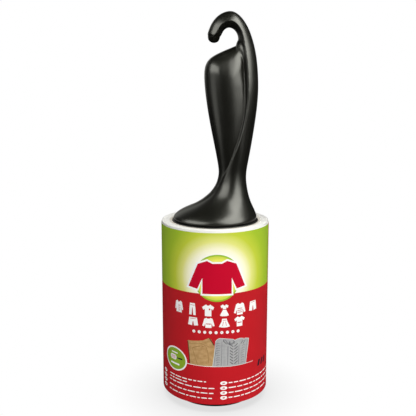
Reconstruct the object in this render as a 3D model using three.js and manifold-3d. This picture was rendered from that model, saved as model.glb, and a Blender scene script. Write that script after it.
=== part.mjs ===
// Lint roller: a two-shell moulded handle with a hanging hook, a fixed axle in its
// skirt, a free-spinning roller cage with an end cap, and a slide-off refill
// (cardboard core, wound adhesive sheets, printed wrap-round label sleeve).
//
// Frame: millimetres, origin on the spin axis at the flat bottom of the end cap,
// +Z along the spin axis towards the hook, +X towards the handle's spine, the
// label faces -Y (front). The handle is mirror-symmetric about its parting plane
// y = 0, apart from the locating pins and sockets.

import * as THREE from 'three';
import { mergeVertices } from 'three/addons/utils/BufferGeometryUtils.js';
import Module from 'manifold-3d';

const wasm = await Module();
wasm.setup();

// ---------------------------------------------------------------- dimensions
// Segments round each kind of circle
const ROLLER_SEGMENTS = 72;
const STIFFENER_SEGMENTS = 48;
const AXLE_SEGMENTS = 40;
const PIN_SEGMENTS = 20;

// Refill: concentric layers from the core outwards
const SHEET_WIDTH = 101.6; // standard 4 in refill
const REFILL_BOTTOM = 5.0;
const REFILL_TOP = REFILL_BOTTOM + SHEET_WIDTH;
const LABEL_TOP = REFILL_TOP - 1.0;
const LAYER_GAP = 0.05;
const CORE_INNER_R = 25.1;
const CORE_OUTER_R = CORE_INNER_R + 1.5;
const ROLL_INNER_R = CORE_OUTER_R + LAYER_GAP;
const ROLL_OUTER_R = ROLL_INNER_R + 4.1;
const SHEET_INNER_R = ROLL_OUTER_R + LAYER_GAP;
const SHEET_OUTER_R = SHEET_INNER_R + 0.25;
const LABEL_INNER_R = SHEET_OUTER_R + LAYER_GAP;
const LABEL_OUTER_R = LABEL_INNER_R + 0.3;
const SEAM_GAP = 0.5; // open seam of a wrapped sheet, along the surface
const SEAM_CUT_DEPTH = 12; // radial length of the seam cutter
const SEAM_CUT_OVERRUN = 2; // cutter length beyond each end of the sheet
const SHEET_SEAM_ANGLE = 2.05;
const LABEL_SEAM_ANGLE = Math.PI / 2; // seam at the back, +Y

// Axle: shaft with a collar near the top and a split snap barb at the bottom
const AXLE_R = 4.0;
const AXLE_TOP = 115.6;
const AXLE_TOP_CHAMFER = 0.6;
const COLLAR_R = 8.0;
const COLLAR_BOTTOM = 110.9;
const COLLAR_TOP = 112.9;
const BARB_R = 4.9;
const BARB_BOTTOM = 2.9;
const BARB_TOP = 5.7;
const BARB_LAND = 0.7; // height of the barb's full-radius band
const AXLE_SLOT_HALF_WIDTH = 0.9;
const AXLE_SLOT_TOP = 22;

// Roller cage
const BORE_R = AXLE_R + 0.08; // running clearance on the axle
const HUB_R = 6.4;
const PLATE_INNER_R = BORE_R + 1.0; // discs start inside the hub wall
const FLANGE_R = 24.85;
const FLANGE_BOTTOM = 105.0;
const FLANGE_TOP = 106.9;
const HUB_TOP = FLANGE_TOP - 0.2;
const DISC_R = 24.2;
const DISC_BOTTOM = 6.0;
const DISC_TOP = 8.0;
const STIFFENER_BOTTOMS = [38.5, 72.0];
const STIFFENER_R = 22.0;
const STIFFENER_THICKNESS = 1.6;
const RIB_COUNT = 6;
const RIB_THICKNESS = 1.6;
const RIB_INNER_R = HUB_R - 1.2; // roots the ribs in the hub wall
const RIB_R = 24.9;
const RIB_BOTTOM = DISC_BOTTOM + 1.0;
const RIB_TOP = FLANGE_BOTTOM + 0.5;
const RIB_LEAD_IN = { inset: 1.4, bottom: 11.0, top: 16.0 };
const RIB_UPPER_TAPER = { inset: 0.8, bottom: 100.5 };

// End cap, with pegs that enter holes in the cage's lower disc
const CAP_R = 24.1;
const CAP_TOP = 5.9;
const CAP_FLOOR = 2.0;
const CAP_WALL = 2.0;
// Rounded foot corner: inset from the cap's radius, height
const CAP_FOOT_CORNER = [[1.6, 0], [0.8, 0.22], [0.22, 0.8], [0, 1.6]];
const PEG_COUNT = 3;
const PEG_R = 1.8;
const PEG_HOLE_R = PEG_R + 0.15;
const PEG_CIRCLE_R = 15.0;
const PEG_BOTTOM = CAP_FLOOR - 0.6; // rooted in the floor
const PEG_TOP = 10.0;

// Handle shells
const SPLIT_GAP = 0.06; // each shell stops this far from y = 0
const SKIRT_BOTTOM = 107.2;
const AXLE_SEAT_R = AXLE_R + 0.12;
const AXLE_SEAT_TOP = AXLE_TOP + 0.4;
const COLLAR_POCKET_R = COLLAR_R + 0.15;
const COLLAR_END_CLEARANCE = 0.12;
const WEB_R = 21.9;
const WEB_BOTTOM = 108.3;
const WEB_TOP = 115.2;
const WEB_HALF_DEPTH = 8.0;

// Locating posts along Y: x, z of each
const POSTS = [[8.6, 147.0], [5.8, 166.0], [4.8, 186.0]];
const BOSS_R = 3.4;
const BOSS_HALF_LENGTH = 14; // reaches beyond the outside, then trimmed to it
const PIN_R = 1.5;
const PIN_ROOT = -6.0;
const PIN_TIP = 3.0;
const SOCKET_R = PIN_R + 0.15;
const SOCKET_END = PIN_TIP + 0.4;

// Palm body, one row per height:
// z, left edge x, right edge x (inside the ribbon), half depth, section exponent
const PALM = [
  [109.8, -23.2, -6.0, 4.6, 2.6],
  [110.6, -22.85, -4.0, 5.0, 2.6],
  [113.0, -19.25, 4.0, 5.2, 2.6],
  [115.3, -13.4, 9.0, 5.4, 2.6],
  [117.7, -8.9, 11.0, 5.7, 2.5],
  [120.1, -5.6, 11.5, 6.0, 2.4],
  [122.5, -2.93, 12.0, 6.3, 2.3],
  [124.8, -1.09, 12.0, 6.7, 2.2],
  [127.2, 0.34, 12.2, 7.1, 2.1],
  [129.5, 1.24, 12.4, 7.5, 2.1],
  [131.9, 1.8, 12.6, 7.9, 2.1],
  [134.2, 2.11, 12.8, 8.2, 2.1],
  [136.5, 1.92, 13.0, 8.5, 2.1],
  [141.2, 1.23, 13.4, 9.0, 2.1],
  [148.1, -0.07, 14.2, 9.9, 2.1],
  [155.0, -1.48, 15.0, 10.7, 2.1],
  [161.9, -2.84, 15.9, 11.4, 2.1],
  [168.7, -4.05, 16.7, 12.0, 2.1],
  [175.4, -5.08, 17.2, 12.4, 2.1],
  [179.9, -5.64, 17.5, 12.6, 2.1],
  [184.4, -6.06, 17.8, 12.6, 2.1],
  [188.8, -6.24, 18.2, 12.5, 2.1],
  [193.2, -5.66, 18.7, 12.0, 2.1],
  [195.4, -4.85, 19.0, 11.4, 2.1],
  [197.6, -3.69, 19.2, 10.5, 2.1],
  [199.8, -1.53, 19.4, 9.2, 2.1],
  [202.0, 2.65, 19.5, 7.4, 2.1],
  [204.2, 8.0, 19.5, 5.0, 2.1],
  [205.8, 12.6, 19.0, 2.4, 2.0],
];
const PALM_LOFT = { around: 36, levelStep: 4.5 };

// Ribbon: hook tip, over the hook, down the spine, round the neck into the skirt.
// outer edge x, z, inner edge x, z, half depth, then as fractions of the width from
// the outer edge: crease position, full span of the outer arc's ellipse
const RIBBON = [
  [-2.6, 207.75, -0.6, 207.55, 1.6, 0.62, 1.00],
  [-3.6, 208.25, 0.75, 207.95, 3.6, 0.62, 0.96],
  [-4.35, 209.3, 1.75, 208.75, 5.2, 0.62, 0.92],
  [-4.52, 210.71, 2.3, 209.95, 6.2, 0.63, 0.90],
  [-3.92, 212.87, 3.0, 211.55, 6.8, 0.63, 0.90],
  [-2.33, 217.19, 4.2, 213.45, 7.1, 0.63, 0.90],
  [0.85, 221.22, 5.6, 214.7, 7.2, 0.63, 0.90],
  [4.72, 223.47, 6.75, 215.25, 7.2, 0.63, 0.90],
  [8.87, 224.27, 8.1, 215.4, 7.2, 0.63, 0.90],
  [12.2, 222.72, 9.8, 214.75, 7.3, 0.63, 0.90],
  [15.67, 219.34, 11.3, 213.3, 7.4, 0.64, 0.90],
  [18.29, 215.03, 12.3, 211.4, 7.6, 0.64, 0.90],
  [20.11, 210.71, 12.75, 209.2, 7.8, 0.64, 0.90],
  [22.04, 204.19, 12.6, 204.9, 8.2, 0.62, 0.90],
  [23.27, 197.62, 12.5, 198.6, 8.6, 0.55, 0.90],
  [24.02, 188.8, 12.3, 189.6, 9.0, 0.50, 0.88],
  [24.19, 181.3, 12.2, 181.8, 9.2, 0.49, 0.88],
  [23.73, 173.18, 11.6, 173.3, 9.4, 0.48, 0.88],
  [22.68, 164.14, 10.2, 164.1, 9.5, 0.49, 0.88],
  [21.4, 155.4, 8.3, 155.3, 9.6, 0.53, 0.90],
  [20.3, 148.5, 6.5, 148.4, 9.6, 0.60, 0.95],
  [18.98, 141.18, 4.6, 141.1, 9.5, 0.71, 1.00],
  [17.95, 135.3, 3.4, 135.3, 9.3, 0.80, 1.02],
  [17.8, 131.9, 2.8, 131.9, 9.2, 0.86, 1.02],
  [17.95, 129.2, 2.2, 129.2, 9.3, 0.91, 1.01],
  [18.35, 126.2, 0.9, 126.2, 9.8, 0.94, 1.0],
  [19.07, 122.45, -1.7, 122.45, 11.2, 0.96, 1.0],
  [19.7, 120.1, -4.4, 120.1, 12.6, 0.965, 1.0],
  [20.5, 117.7, -7.8, 117.7, 14.7, 0.97, 1.0],
  [21.54, 115.3, -12.4, 115.3, 17.3, 0.975, 1.0],
  [22.7, 113.0, -18.3, 113.0, 20.5, 0.98, 1.0],
  [23.73, 110.6, -22.5, 110.6, 23.1, 0.985, 1.0],
  [24.3, 108.9, -24.15, 108.9, 24.2, 0.99, 1.0],
  [24.3, 108.1, -24.3, 108.1, 24.3, 0.99, 1.0],
  [24.0, 107.5, -24.0, 107.5, 24.0, 0.99, 1.0],
  [23.4, SKIRT_BOTTOM, -23.4, SKIRT_BOTTOM, 23.4, 0.99, 1.0],
];
const RIBBON_ARC_STEPS = 11;
const RIBBON_WALL_STEPS = 3;

// Hollow inside the closed handle, one row per height:
// z, centre x, half width, half depth
const CAVITY = [
  [SKIRT_BOTTOM - 1.0, 0.0, 21.6, 21.6],
  [109.6, 0.0, 21.2, 21.2],
  [111.2, 0.6, 19.2, 19.6],
  [113.2, 2.4, 15.9, 16.8],
  [115.4, 4.8, 12.6, 13.6],
  [117.7, 6.6, 10.6, 11.2],
  [120.1, 7.9, 9.0, 9.4],
  [122.5, 8.8, 7.8, 8.0],
  [126.0, 9.6, 6.4, 6.9],
  [129.5, 9.9, 5.7, 6.4],
  [134.2, 10.0, 5.6, 6.3],
  [141.2, 9.8, 6.1, 6.6],
  [150.0, 8.6, 6.6, 7.2],
  [160.0, 6.1, 6.4, 8.8],
  [170.0, 5.4, 7.4, 9.7],
  [180.0, 4.8, 8.2, 10.2],
  [188.0, 4.5, 8.5, 9.9],
  [194.0, 5.2, 7.8, 8.6],
  [198.0, 6.5, 6.3, 6.6],
  [200.5, 8.3, 4.5, 4.2],
];
const CAVITY_LOFT = { around: 28, levelStep: 6.0 };
const ELLIPSE_EXPONENT = 2.0;

// ------------------------------------------------------------ solid helpers
// three.js geometry -> manifold solid, without collapsed triangles
function solid(geometry) {
  for (const name of Object.keys(geometry.attributes)) {
    if (name !== 'position') geometry.deleteAttribute(name);
  }
  const merged = mergeVertices(geometry, 1e-4);
  const corners = merged.index.array;
  const triangles = [];
  for (let i = 0; i < corners.length; i += 3) {
    const [a, b, c] = corners.slice(i, i + 3);
    if (a !== b && b !== c && a !== c) triangles.push(a, b, c);
  }
  return new wasm.Manifold(new wasm.Mesh({
    numProp: 3,
    vertProperties: new Float32Array(merged.attributes.position.array),
    triVerts: new Uint32Array(triangles),
  }));
}

// solid from an indexed geometry, turned right side out if it is wound inwards
function outwardSolid(geometry) {
  const result = solid(geometry);
  if (result.volume() >= 0) return result;
  const corners = geometry.index.array;
  for (let i = 0; i < corners.length; i += 3) {
    [corners[i], corners[i + 1]] = [corners[i + 1], corners[i]];
  }
  return solid(geometry);
}

// manifold solid -> three.js geometry
function geometryOf(shape) {
  const mesh = shape.getMesh();
  const geometry = new THREE.BufferGeometry();
  const positions = new Float32Array(mesh.vertProperties);
  geometry.setAttribute('position', new THREE.BufferAttribute(positions, 3));
  geometry.setIndex(new THREE.BufferAttribute(new Uint32Array(mesh.triVerts), 1));
  geometry.computeVertexNormals();
  return geometry;
}

const union = (shapes) => shapes.reduce((whole, shape) => whole.add(shape));

// solid of revolution about Z from [radius, z] points, closed on itself or on the axis
function turned(points, segments) {
  const profile = points.map(([radius, z]) => new THREE.Vector2(radius, z));
  return outwardSolid(new THREE.LatheGeometry(profile, segments).rotateX(Math.PI / 2));
}

function ring(inner, outer, bottom, top, segments) {
  return turned(
    [[inner, bottom], [outer, bottom], [outer, top], [inner, top], [inner, bottom]],
    segments,
  );
}

function disc(radius, bottom, top, segments) {
  return turned([[0, bottom], [radius, bottom], [radius, top], [0, top]], segments);
}

// box from its [from, to] ranges in x, y and z
function box(...ranges) {
  const sizes = ranges.map(([from, to]) => to - from);
  const middles = ranges.map(([from, to]) => (from + to) / 2);
  return solid(new THREE.BoxGeometry(...sizes).translate(...middles));
}

// one cylinder along Y at each locating post
function postCylinders(radius, yStart, yEnd) {
  return POSTS.map(([x, z]) => {
    const cylinder = new THREE.CylinderGeometry(radius, radius, yEnd - yStart, PIN_SEGMENTS);
    return solid(cylinder.translate(x, (yStart + yEnd) / 2, z));
  });
}

// one upright cylinder at each cap peg; the pegs lie midway between ribs
function pegCylinders(radius, bottom, top) {
  return Array.from({ length: PEG_COUNT }, (_, i) => {
    const angle = 2 * Math.PI * (i + 1) / PEG_COUNT;
    const cylinder = new THREE.CylinderGeometry(radius, radius, top - bottom, PIN_SEGMENTS);
    cylinder.rotateX(Math.PI / 2);
    cylinder.translate(
      PEG_CIRCLE_R * Math.cos(angle),
      PEG_CIRCLE_R * Math.sin(angle),
      (bottom + top) / 2,
    );
    return solid(cylinder);
  });
}

// ------------------------------------------------------------- loft helpers
// shape-preserving cubic through (knots, values)
function monotone(knots, values) {
  const last = knots.length - 1;
  const widths = [];
  const slopes = [];
  for (let i = 0; i < last; i++) {
    widths.push(knots[i + 1] - knots[i]);
    slopes.push((values[i + 1] - values[i]) / widths[i]);
  }
  const tangents = new Array(last + 1).fill(0);
  tangents[0] = slopes[0];
  tangents[last] = slopes[last - 1];
  for (let i = 1; i < last; i++) {
    if (slopes[i - 1] * slopes[i] > 0) {
      const before = 2 * widths[i] + widths[i - 1];
      const after = widths[i] + 2 * widths[i - 1];
      tangents[i] = (before + after) / (before / slopes[i - 1] + after / slopes[i]);
    }
  }
  return (at) => {
    let i = 0;
    while (i < last - 1 && at > knots[i + 1]) i++;
    const part = (at - knots[i]) / widths[i];
    const square = part * part;
    const cube = square * part;
    return (2 * cube - 3 * square + 1) * values[i]
      + (cube - 2 * square + part) * widths[i] * tangents[i]
      + (-2 * cube + 3 * square) * values[i + 1]
      + (cube - square) * widths[i] * tangents[i + 1];
  };
}

// closed loft through rings of points, with a fan of triangles over each end
function loft(rings) {
  const around = rings[0].length;
  const positions = rings.flat(2);
  const indices = [];
  const vertex = (level, step) => level * around + (step % around);
  for (let i = 0; i < rings.length - 1; i++) {
    for (let j = 0; j < around; j++) {
      const opposite = vertex(i + 1, j + 1);
      indices.push(vertex(i, j), vertex(i, j + 1), opposite);
      indices.push(vertex(i, j), opposite, vertex(i + 1, j));
    }
  }
  for (const level of [0, rings.length - 1]) {
    const centre = [0, 1, 2].map(
      (axis) => rings[level].reduce((sum, point) => sum + point[axis] / around, 0),
    );
    const hub = positions.length / 3;
    positions.push(...centre);
    for (let j = 0; j < around; j++) {
      const edge = [vertex(level, j), vertex(level, j + 1)];
      if (level === 0) edge.reverse();
      indices.push(hub, ...edge);
    }
  }
  const geometry = new THREE.BufferGeometry();
  geometry.setAttribute('position', new THREE.Float32BufferAttribute(positions, 3));
  geometry.setIndex(indices);
  return outwardSolid(geometry);
}

const signedPower = (value, exponent) =>
  Math.sign(value) * Math.pow(Math.abs(value), 2 / exponent);

// upright loft of superellipses from rows of z, left x, right x, half depth, exponent,
// with extra levels about levelStep apart
function uprightLoft(rows, { around, levelStep }) {
  const heights = rows.map((row) => row[0]);
  const columns = [1, 2, 3, 4].map((k) => monotone(heights, rows.map((row) => row[k])));
  const levels = [];
  for (let i = 0; i < rows.length - 1; i++) {
    const rise = heights[i + 1] - heights[i];
    const parts = Math.max(1, Math.round(rise / levelStep));
    for (let k = 0; k < parts; k++) levels.push(heights[i] + rise * k / parts);
  }
  levels.push(heights[heights.length - 1]);
  return loft(levels.map((z) => {
    const [left, right, halfDepth, exponent] = columns.map((column) => column(z));
    return Array.from({ length: around }, (_, j) => {
      const angle = 2 * Math.PI * j / around;
      const across = signedPower(Math.cos(angle), exponent);
      const x = (left + right) / 2 + (right - left) / 2 * across;
      return [x, halfDepth * signedPower(Math.sin(angle), exponent), z];
    });
  }));
}

// section of the ribbon at one station: an elliptical arc from the outer edge to the
// crease, a straight slanted wall to the inner edge, and the same mirrored in y
function ribbonSection([outerX, outerZ, innerX, innerZ, halfDepth, crease, arcSpan]) {
  const half = []; // [fraction of the width, distance from y = 0]
  const endAngle = Math.acos(1 - 2 * crease / arcSpan);
  for (let j = 0; j <= RIBBON_ARC_STEPS; j++) {
    const angle = endAngle * j / RIBBON_ARC_STEPS;
    half.push([arcSpan * (1 - Math.cos(angle)) / 2, halfDepth * Math.sin(angle)]);
  }
  const [wallStart, wallDepth] = half[RIBBON_ARC_STEPS];
  for (let j = 1; j <= RIBBON_WALL_STEPS; j++) {
    const part = j / RIBBON_WALL_STEPS;
    half.push([wallStart + (1 - wallStart) * part, wallDepth * (1 - part)]);
  }
  const place = (side) => ([across, depth]) => [
    outerX + (innerX - outerX) * across,
    side * depth,
    outerZ + (innerZ - outerZ) * across,
  ];
  return [...half.map(place(-1)), ...half.slice(1, -1).reverse().map(place(1))];
}

// ------------------------------------------------------------- handle shells
// web across the inside of the skirt, seating the axle and trapping its collar
function axleWeb(outside, axleSeat) {
  const collarPocket = disc(
    COLLAR_POCKET_R,
    COLLAR_BOTTOM - COLLAR_END_CLEARANCE,
    COLLAR_TOP + COLLAR_END_CLEARANCE,
    AXLE_SEGMENTS,
  );
  return disc(WEB_R, WEB_BOTTOM, WEB_TOP, AXLE_SEGMENTS)
    .subtract(axleSeat)
    .subtract(collarPocket)
    .intersect(box([-30, 30], [-WEB_HALF_DEPTH, WEB_HALF_DEPTH], [100, 120]))
    .intersect(outside);
}

// both shells in one, hollowed, with the bosses of the locating posts
function handleBody() {
  const outside = uprightLoft(PALM, PALM_LOFT).add(loft(RIBBON.map(ribbonSection)));
  const cavityRows = CAVITY.map(([z, centre, halfWidth, halfDepth]) => (
    [z, centre - halfWidth, centre + halfWidth, halfDepth, ELLIPSE_EXPONENT]
  ));
  const cavity = uprightLoft(cavityRows, CAVITY_LOFT);
  const axleSeat = disc(AXLE_SEAT_R, 100.0, AXLE_SEAT_TOP, AXLE_SEGMENTS);
  const bosses = postCylinders(BOSS_R, -BOSS_HALF_LENGTH, BOSS_HALF_LENGTH)
    .map((boss) => boss.intersect(outside));
  return outside
    .subtract(cavity.subtract(axleWeb(outside, axleSeat)))
    .subtract(axleSeat)
    .add(union(bosses));
}

function frontShell(body) {
  const half = box([-60, 60], [-60, -SPLIT_GAP], [60, 260]);
  return body.intersect(half).add(union(postCylinders(PIN_R, PIN_ROOT, PIN_TIP)));
}

function rearShell(body) {
  const half = box([-60, 60], [SPLIT_GAP, 60], [60, 260]);
  const sockets = postCylinders(SOCKET_R, -SPLIT_GAP * 2, SOCKET_END);
  return body.intersect(half).subtract(union(sockets));
}

// ---------------------------------------------------------------------- axle
function axle() {
  const shaft = turned([
    [0, BARB_BOTTOM], [AXLE_R - 0.5, BARB_BOTTOM], [AXLE_R - 0.1, BARB_BOTTOM + 0.5],
    [BARB_R, BARB_TOP - BARB_LAND], [BARB_R, BARB_TOP], [AXLE_R, BARB_TOP],
    [AXLE_R, COLLAR_BOTTOM], [COLLAR_R, COLLAR_BOTTOM],
    [COLLAR_R, COLLAR_TOP], [AXLE_R, COLLAR_TOP],
    [AXLE_R, AXLE_TOP - AXLE_TOP_CHAMFER], [AXLE_R - AXLE_TOP_CHAMFER, AXLE_TOP],
    [0, AXLE_TOP],
  ], AXLE_SEGMENTS);
  // crossed slots split the barb
  const narrow = [-AXLE_SLOT_HALF_WIDTH, AXLE_SLOT_HALF_WIDTH];
  const wide = [-10, 10];
  const height = [0, AXLE_SLOT_TOP];
  return shaft.subtract(box(narrow, wide, height)).subtract(box(wide, narrow, height));
}

// --------------------------------------------------------------- roller cage
function cageFlange() {
  return turned([
    [PLATE_INNER_R, FLANGE_BOTTOM], [FLANGE_R - 0.4, FLANGE_BOTTOM],
    [FLANGE_R, FLANGE_BOTTOM + 0.4], [FLANGE_R, FLANGE_TOP - 0.5],
    [FLANGE_R - 0.5, FLANGE_TOP], [PLATE_INNER_R, FLANGE_TOP],
    [PLATE_INNER_R, FLANGE_BOTTOM],
  ], ROLLER_SEGMENTS);
}

// thin wall from the hub to the grip edge, tapered in at both ends
function cageRib(angle) {
  const outline = [
    [RIB_INNER_R, RIB_BOTTOM],
    [RIB_R - RIB_LEAD_IN.inset, RIB_BOTTOM],
    [RIB_R - RIB_LEAD_IN.inset, RIB_LEAD_IN.bottom],
    [RIB_R, RIB_LEAD_IN.top],
    [RIB_R, RIB_UPPER_TAPER.bottom],
    [RIB_R - RIB_UPPER_TAPER.inset, RIB_TOP],
    [RIB_INNER_R, RIB_TOP],
  ];
  const shape = new THREE.Shape(outline.map(([radius, z]) => new THREE.Vector2(radius, z)));
  shape.closePath();
  const blade = new THREE.ExtrudeGeometry(shape, { depth: RIB_THICKNESS, bevelEnabled: false });
  blade.translate(0, 0, -RIB_THICKNESS / 2);
  blade.rotateX(Math.PI / 2);
  blade.rotateZ(angle);
  return solid(blade);
}

function rollerCage() {
  const parts = [
    ring(BORE_R, HUB_R, DISC_BOTTOM, HUB_TOP, AXLE_SEGMENTS),
    cageFlange(),
    ring(PLATE_INNER_R, DISC_R, DISC_BOTTOM, DISC_TOP, ROLLER_SEGMENTS),
  ];
  for (const z of STIFFENER_BOTTOMS) {
    const top = z + STIFFENER_THICKNESS;
    parts.push(ring(PLATE_INNER_R, STIFFENER_R, z, top, STIFFENER_SEGMENTS));
  }
  for (let i = 0; i < RIB_COUNT; i++) {
    parts.push(cageRib(2 * Math.PI * i / RIB_COUNT + Math.PI / RIB_COUNT));
  }
  const holes = pegCylinders(PEG_HOLE_R, DISC_BOTTOM - 2, DISC_TOP + 1);
  return holes.reduce((cage, hole) => cage.subtract(hole), union(parts));
}

// ------------------------------------------------------------------- end cap
function endCap() {
  const cup = turned([
    [0, 0],
    ...CAP_FOOT_CORNER.map(([inset, z]) => [CAP_R - inset, z]),
    [CAP_R, CAP_TOP], [CAP_R - CAP_WALL, CAP_TOP],
    [CAP_R - CAP_WALL, CAP_FLOOR], [0, CAP_FLOOR],
  ], ROLLER_SEGMENTS);
  return union([cup, ...pegCylinders(PEG_R, PEG_BOTTOM, PEG_TOP)]);
}

// -------------------------------------------------------------------- refill
const refillLayer = (inner, outer, top = REFILL_TOP) =>
  ring(inner, outer, REFILL_BOTTOM, top, ROLLER_SEGMENTS);

// one wrapped sheet: a thin layer with an open seam at the given angle
function wrappedSheet(inner, outer, top, seamAngle) {
  const cutLength = top - REFILL_BOTTOM + 2 * SEAM_CUT_OVERRUN;
  const cutter = new THREE.BoxGeometry(SEAM_CUT_DEPTH, SEAM_GAP, cutLength);
  cutter.translate((inner + outer) / 2, 0, (REFILL_BOTTOM + top) / 2);
  cutter.rotateZ(seamAngle);
  return refillLayer(inner, outer, top).subtract(solid(cutter));
}

const coreTube = () => refillLayer(CORE_INNER_R, CORE_OUTER_R);
const adhesiveRoll = () => refillLayer(ROLL_INNER_R, ROLL_OUTER_R);
const topSheet = () =>
  wrappedSheet(SHEET_INNER_R, SHEET_OUTER_R, REFILL_TOP, SHEET_SEAM_ANGLE);
const labelSleeve = () =>
  wrappedSheet(LABEL_INNER_R, LABEL_OUTER_R, LABEL_TOP, LABEL_SEAM_ANGLE);

// ----------------------------------------------------------------- materials
const FINISHES = {
  shellBlack: { color: 0x161614, roughness: 0.34 },
  plainBlack: { color: 0x141414, roughness: 0.5 },
  cardboard: { color: 0xb79a72, roughness: 0.9 },
  rollPaper: { color: 0xf0efe8, roughness: 0.75 },
  sheetPaper: { color: 0xf6f5f0, roughness: 0.6 },
  labelRed: { color: 0xb81f26, roughness: 0.4 },
};

// --------------------------------------------------------------- scene graph
const object = new THREE.Group();
const handle = new THREE.Group();
const spool = new THREE.Group();
const refill = new THREE.Group();
object.add(handle, spool, refill);

function addPiece(parent, name, shape, finish) {
  const material = new THREE.MeshStandardMaterial({ ...finish, metalness: 0.0 });
  const mesh = new THREE.Mesh(geometryOf(shape), material);
  mesh.name = name;
  parent.add(mesh);
}

const body = handleBody();
addPiece(handle, 'handle_front_shell', frontShell(body), FINISHES.shellBlack);
addPiece(handle, 'handle_rear_shell', rearShell(body), FINISHES.shellBlack);
addPiece(handle, 'axle', axle(), FINISHES.plainBlack);
addPiece(spool, 'roller_cage', rollerCage(), FINISHES.plainBlack);
addPiece(spool, 'end_cap', endCap(), FINISHES.plainBlack);
addPiece(refill, 'core_tube', coreTube(), FINISHES.cardboard);
addPiece(refill, 'adhesive_roll', adhesiveRoll(), FINISHES.rollPaper);
addPiece(refill, 'top_sheet', topSheet(), FINISHES.sheetPaper);
addPiece(refill, 'label_sleeve', labelSleeve(), FINISHES.labelRed);

export default object;
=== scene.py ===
"""Lint roller, standing upright on the floor.

The roll's axis is Z, the front faces -Y and +X is to the right. The end cap is at the bottom and
the hollow two-part handle at the top, bent over into a hook. Lengths are in millimetres, turned
into metres as meshes are made, except where a comment says metres.
"""
import math
import bpy
import bmesh
import numpy as np
from mathutils import Matrix, Vector
from mathutils.geometry import delaunay_2d_cdt

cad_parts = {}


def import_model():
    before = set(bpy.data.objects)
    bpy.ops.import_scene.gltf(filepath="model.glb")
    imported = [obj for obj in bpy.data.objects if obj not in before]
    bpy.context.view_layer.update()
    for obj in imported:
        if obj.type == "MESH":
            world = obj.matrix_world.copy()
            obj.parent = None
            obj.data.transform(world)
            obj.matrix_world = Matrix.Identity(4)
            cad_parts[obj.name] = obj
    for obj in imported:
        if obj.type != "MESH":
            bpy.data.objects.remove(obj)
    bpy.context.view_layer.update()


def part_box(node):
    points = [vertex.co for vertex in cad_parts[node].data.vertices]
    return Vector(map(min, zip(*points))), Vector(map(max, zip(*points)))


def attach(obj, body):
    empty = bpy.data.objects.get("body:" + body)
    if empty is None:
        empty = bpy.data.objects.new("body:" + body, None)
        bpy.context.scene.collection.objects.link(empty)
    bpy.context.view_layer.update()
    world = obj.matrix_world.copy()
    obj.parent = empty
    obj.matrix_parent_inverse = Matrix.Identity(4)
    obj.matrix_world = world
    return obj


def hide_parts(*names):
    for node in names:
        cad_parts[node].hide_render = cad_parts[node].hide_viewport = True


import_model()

MM = 0.001
SCENE = bpy.context.scene


# =====================================================================
# places, read from the frame
# =====================================================================
def node_mm(name):
    """Lower and upper corner of a CAD piece."""
    low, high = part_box(name)
    return [v / MM for v in low], [v / MM for v in high]


(_, _, ROLL_Z0), (ROLL_R, _, ROLL_Z1) = node_mm("adhesive_roll")
(_, _, LABEL_Z0), (LABEL_R, _, LABEL_Z1) = node_mm("label_sleeve")
(_, _, SHEET_Z0), (SHEET_R, _, SHEET_Z1) = node_mm("top_sheet")
(_, _, CORE_Z0), (CORE_R, _, CORE_Z1) = node_mm("core_tube")
_, (CAP_R, _, CAP_Z1) = node_mm("end_cap")
(_, _, CAGE_Z0), (CAGE_R, _, CAGE_Z1) = node_mm("roller_cage")
(_, _, AXLE_Z0), (_, _, AXLE_Z1) = node_mm("axle")
(_, _, SKIRT_Z0), _ = node_mm("handle_front_shell")


# =====================================================================
# mesh helpers
# =====================================================================
def new_object(name, verts, faces, smooth=True):
    mesh = bpy.data.meshes.new(name)
    points = np.asarray(verts, dtype=np.float64) * MM
    mesh.from_pydata([tuple(p) for p in points], [], [tuple(int(i) for i in f) for f in faces])
    mesh.validate()
    mesh.update()
    if smooth:
        mesh.polygons.foreach_set("use_smooth", [True] * len(mesh.polygons))
    obj = bpy.data.objects.new(name, mesh)
    SCENE.collection.objects.link(obj)
    return obj


def sharpen(obj, degrees):
    """Smooth shading, with sharp edges wherever the surface turns by more than the angle."""
    bm = bmesh.new()
    bm.from_mesh(obj.data)
    limit = math.radians(degrees)
    for edge in bm.edges:
        edge.smooth = len(edge.link_faces) == 2 and edge.calc_face_angle(0.0) <= limit
    for face in bm.faces:
        face.smooth = True
    bm.to_mesh(obj.data)
    bm.free()


def face_outwards(obj):
    bm = bmesh.new()
    bm.from_mesh(obj.data)
    bmesh.ops.recalc_face_normals(bm, faces=bm.faces)
    if bm.calc_volume(signed=True) < 0:
        bmesh.ops.reverse_faces(bm, faces=bm.faces)
    bm.to_mesh(obj.data)
    bm.free()


def boolean(obj, tool, operation):
    """Apply a boolean to obj and delete the tool."""
    modifier = obj.modifiers.new("boolean", "BOOLEAN")
    modifier.operation = operation
    modifier.object = tool
    modifier.solver = "MANIFOLD"
    depsgraph = bpy.context.evaluated_depsgraph_get()
    mesh = bpy.data.meshes.new_from_object(obj.evaluated_get(depsgraph))
    obj.modifiers.remove(modifier)
    old_mesh, tool_mesh = obj.data, tool.data
    mesh.name = old_mesh.name
    obj.data = mesh
    bpy.data.meshes.remove(old_mesh)
    bpy.data.objects.remove(tool)
    bpy.data.meshes.remove(tool_mesh)


def register(obj, body, node):
    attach(obj, body)
    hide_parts(node)


def finish(obj, material, angle, body, node):
    sharpen(obj, angle)
    obj.data.materials.clear()
    obj.data.materials.append(material)
    register(obj, body, node)


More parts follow.
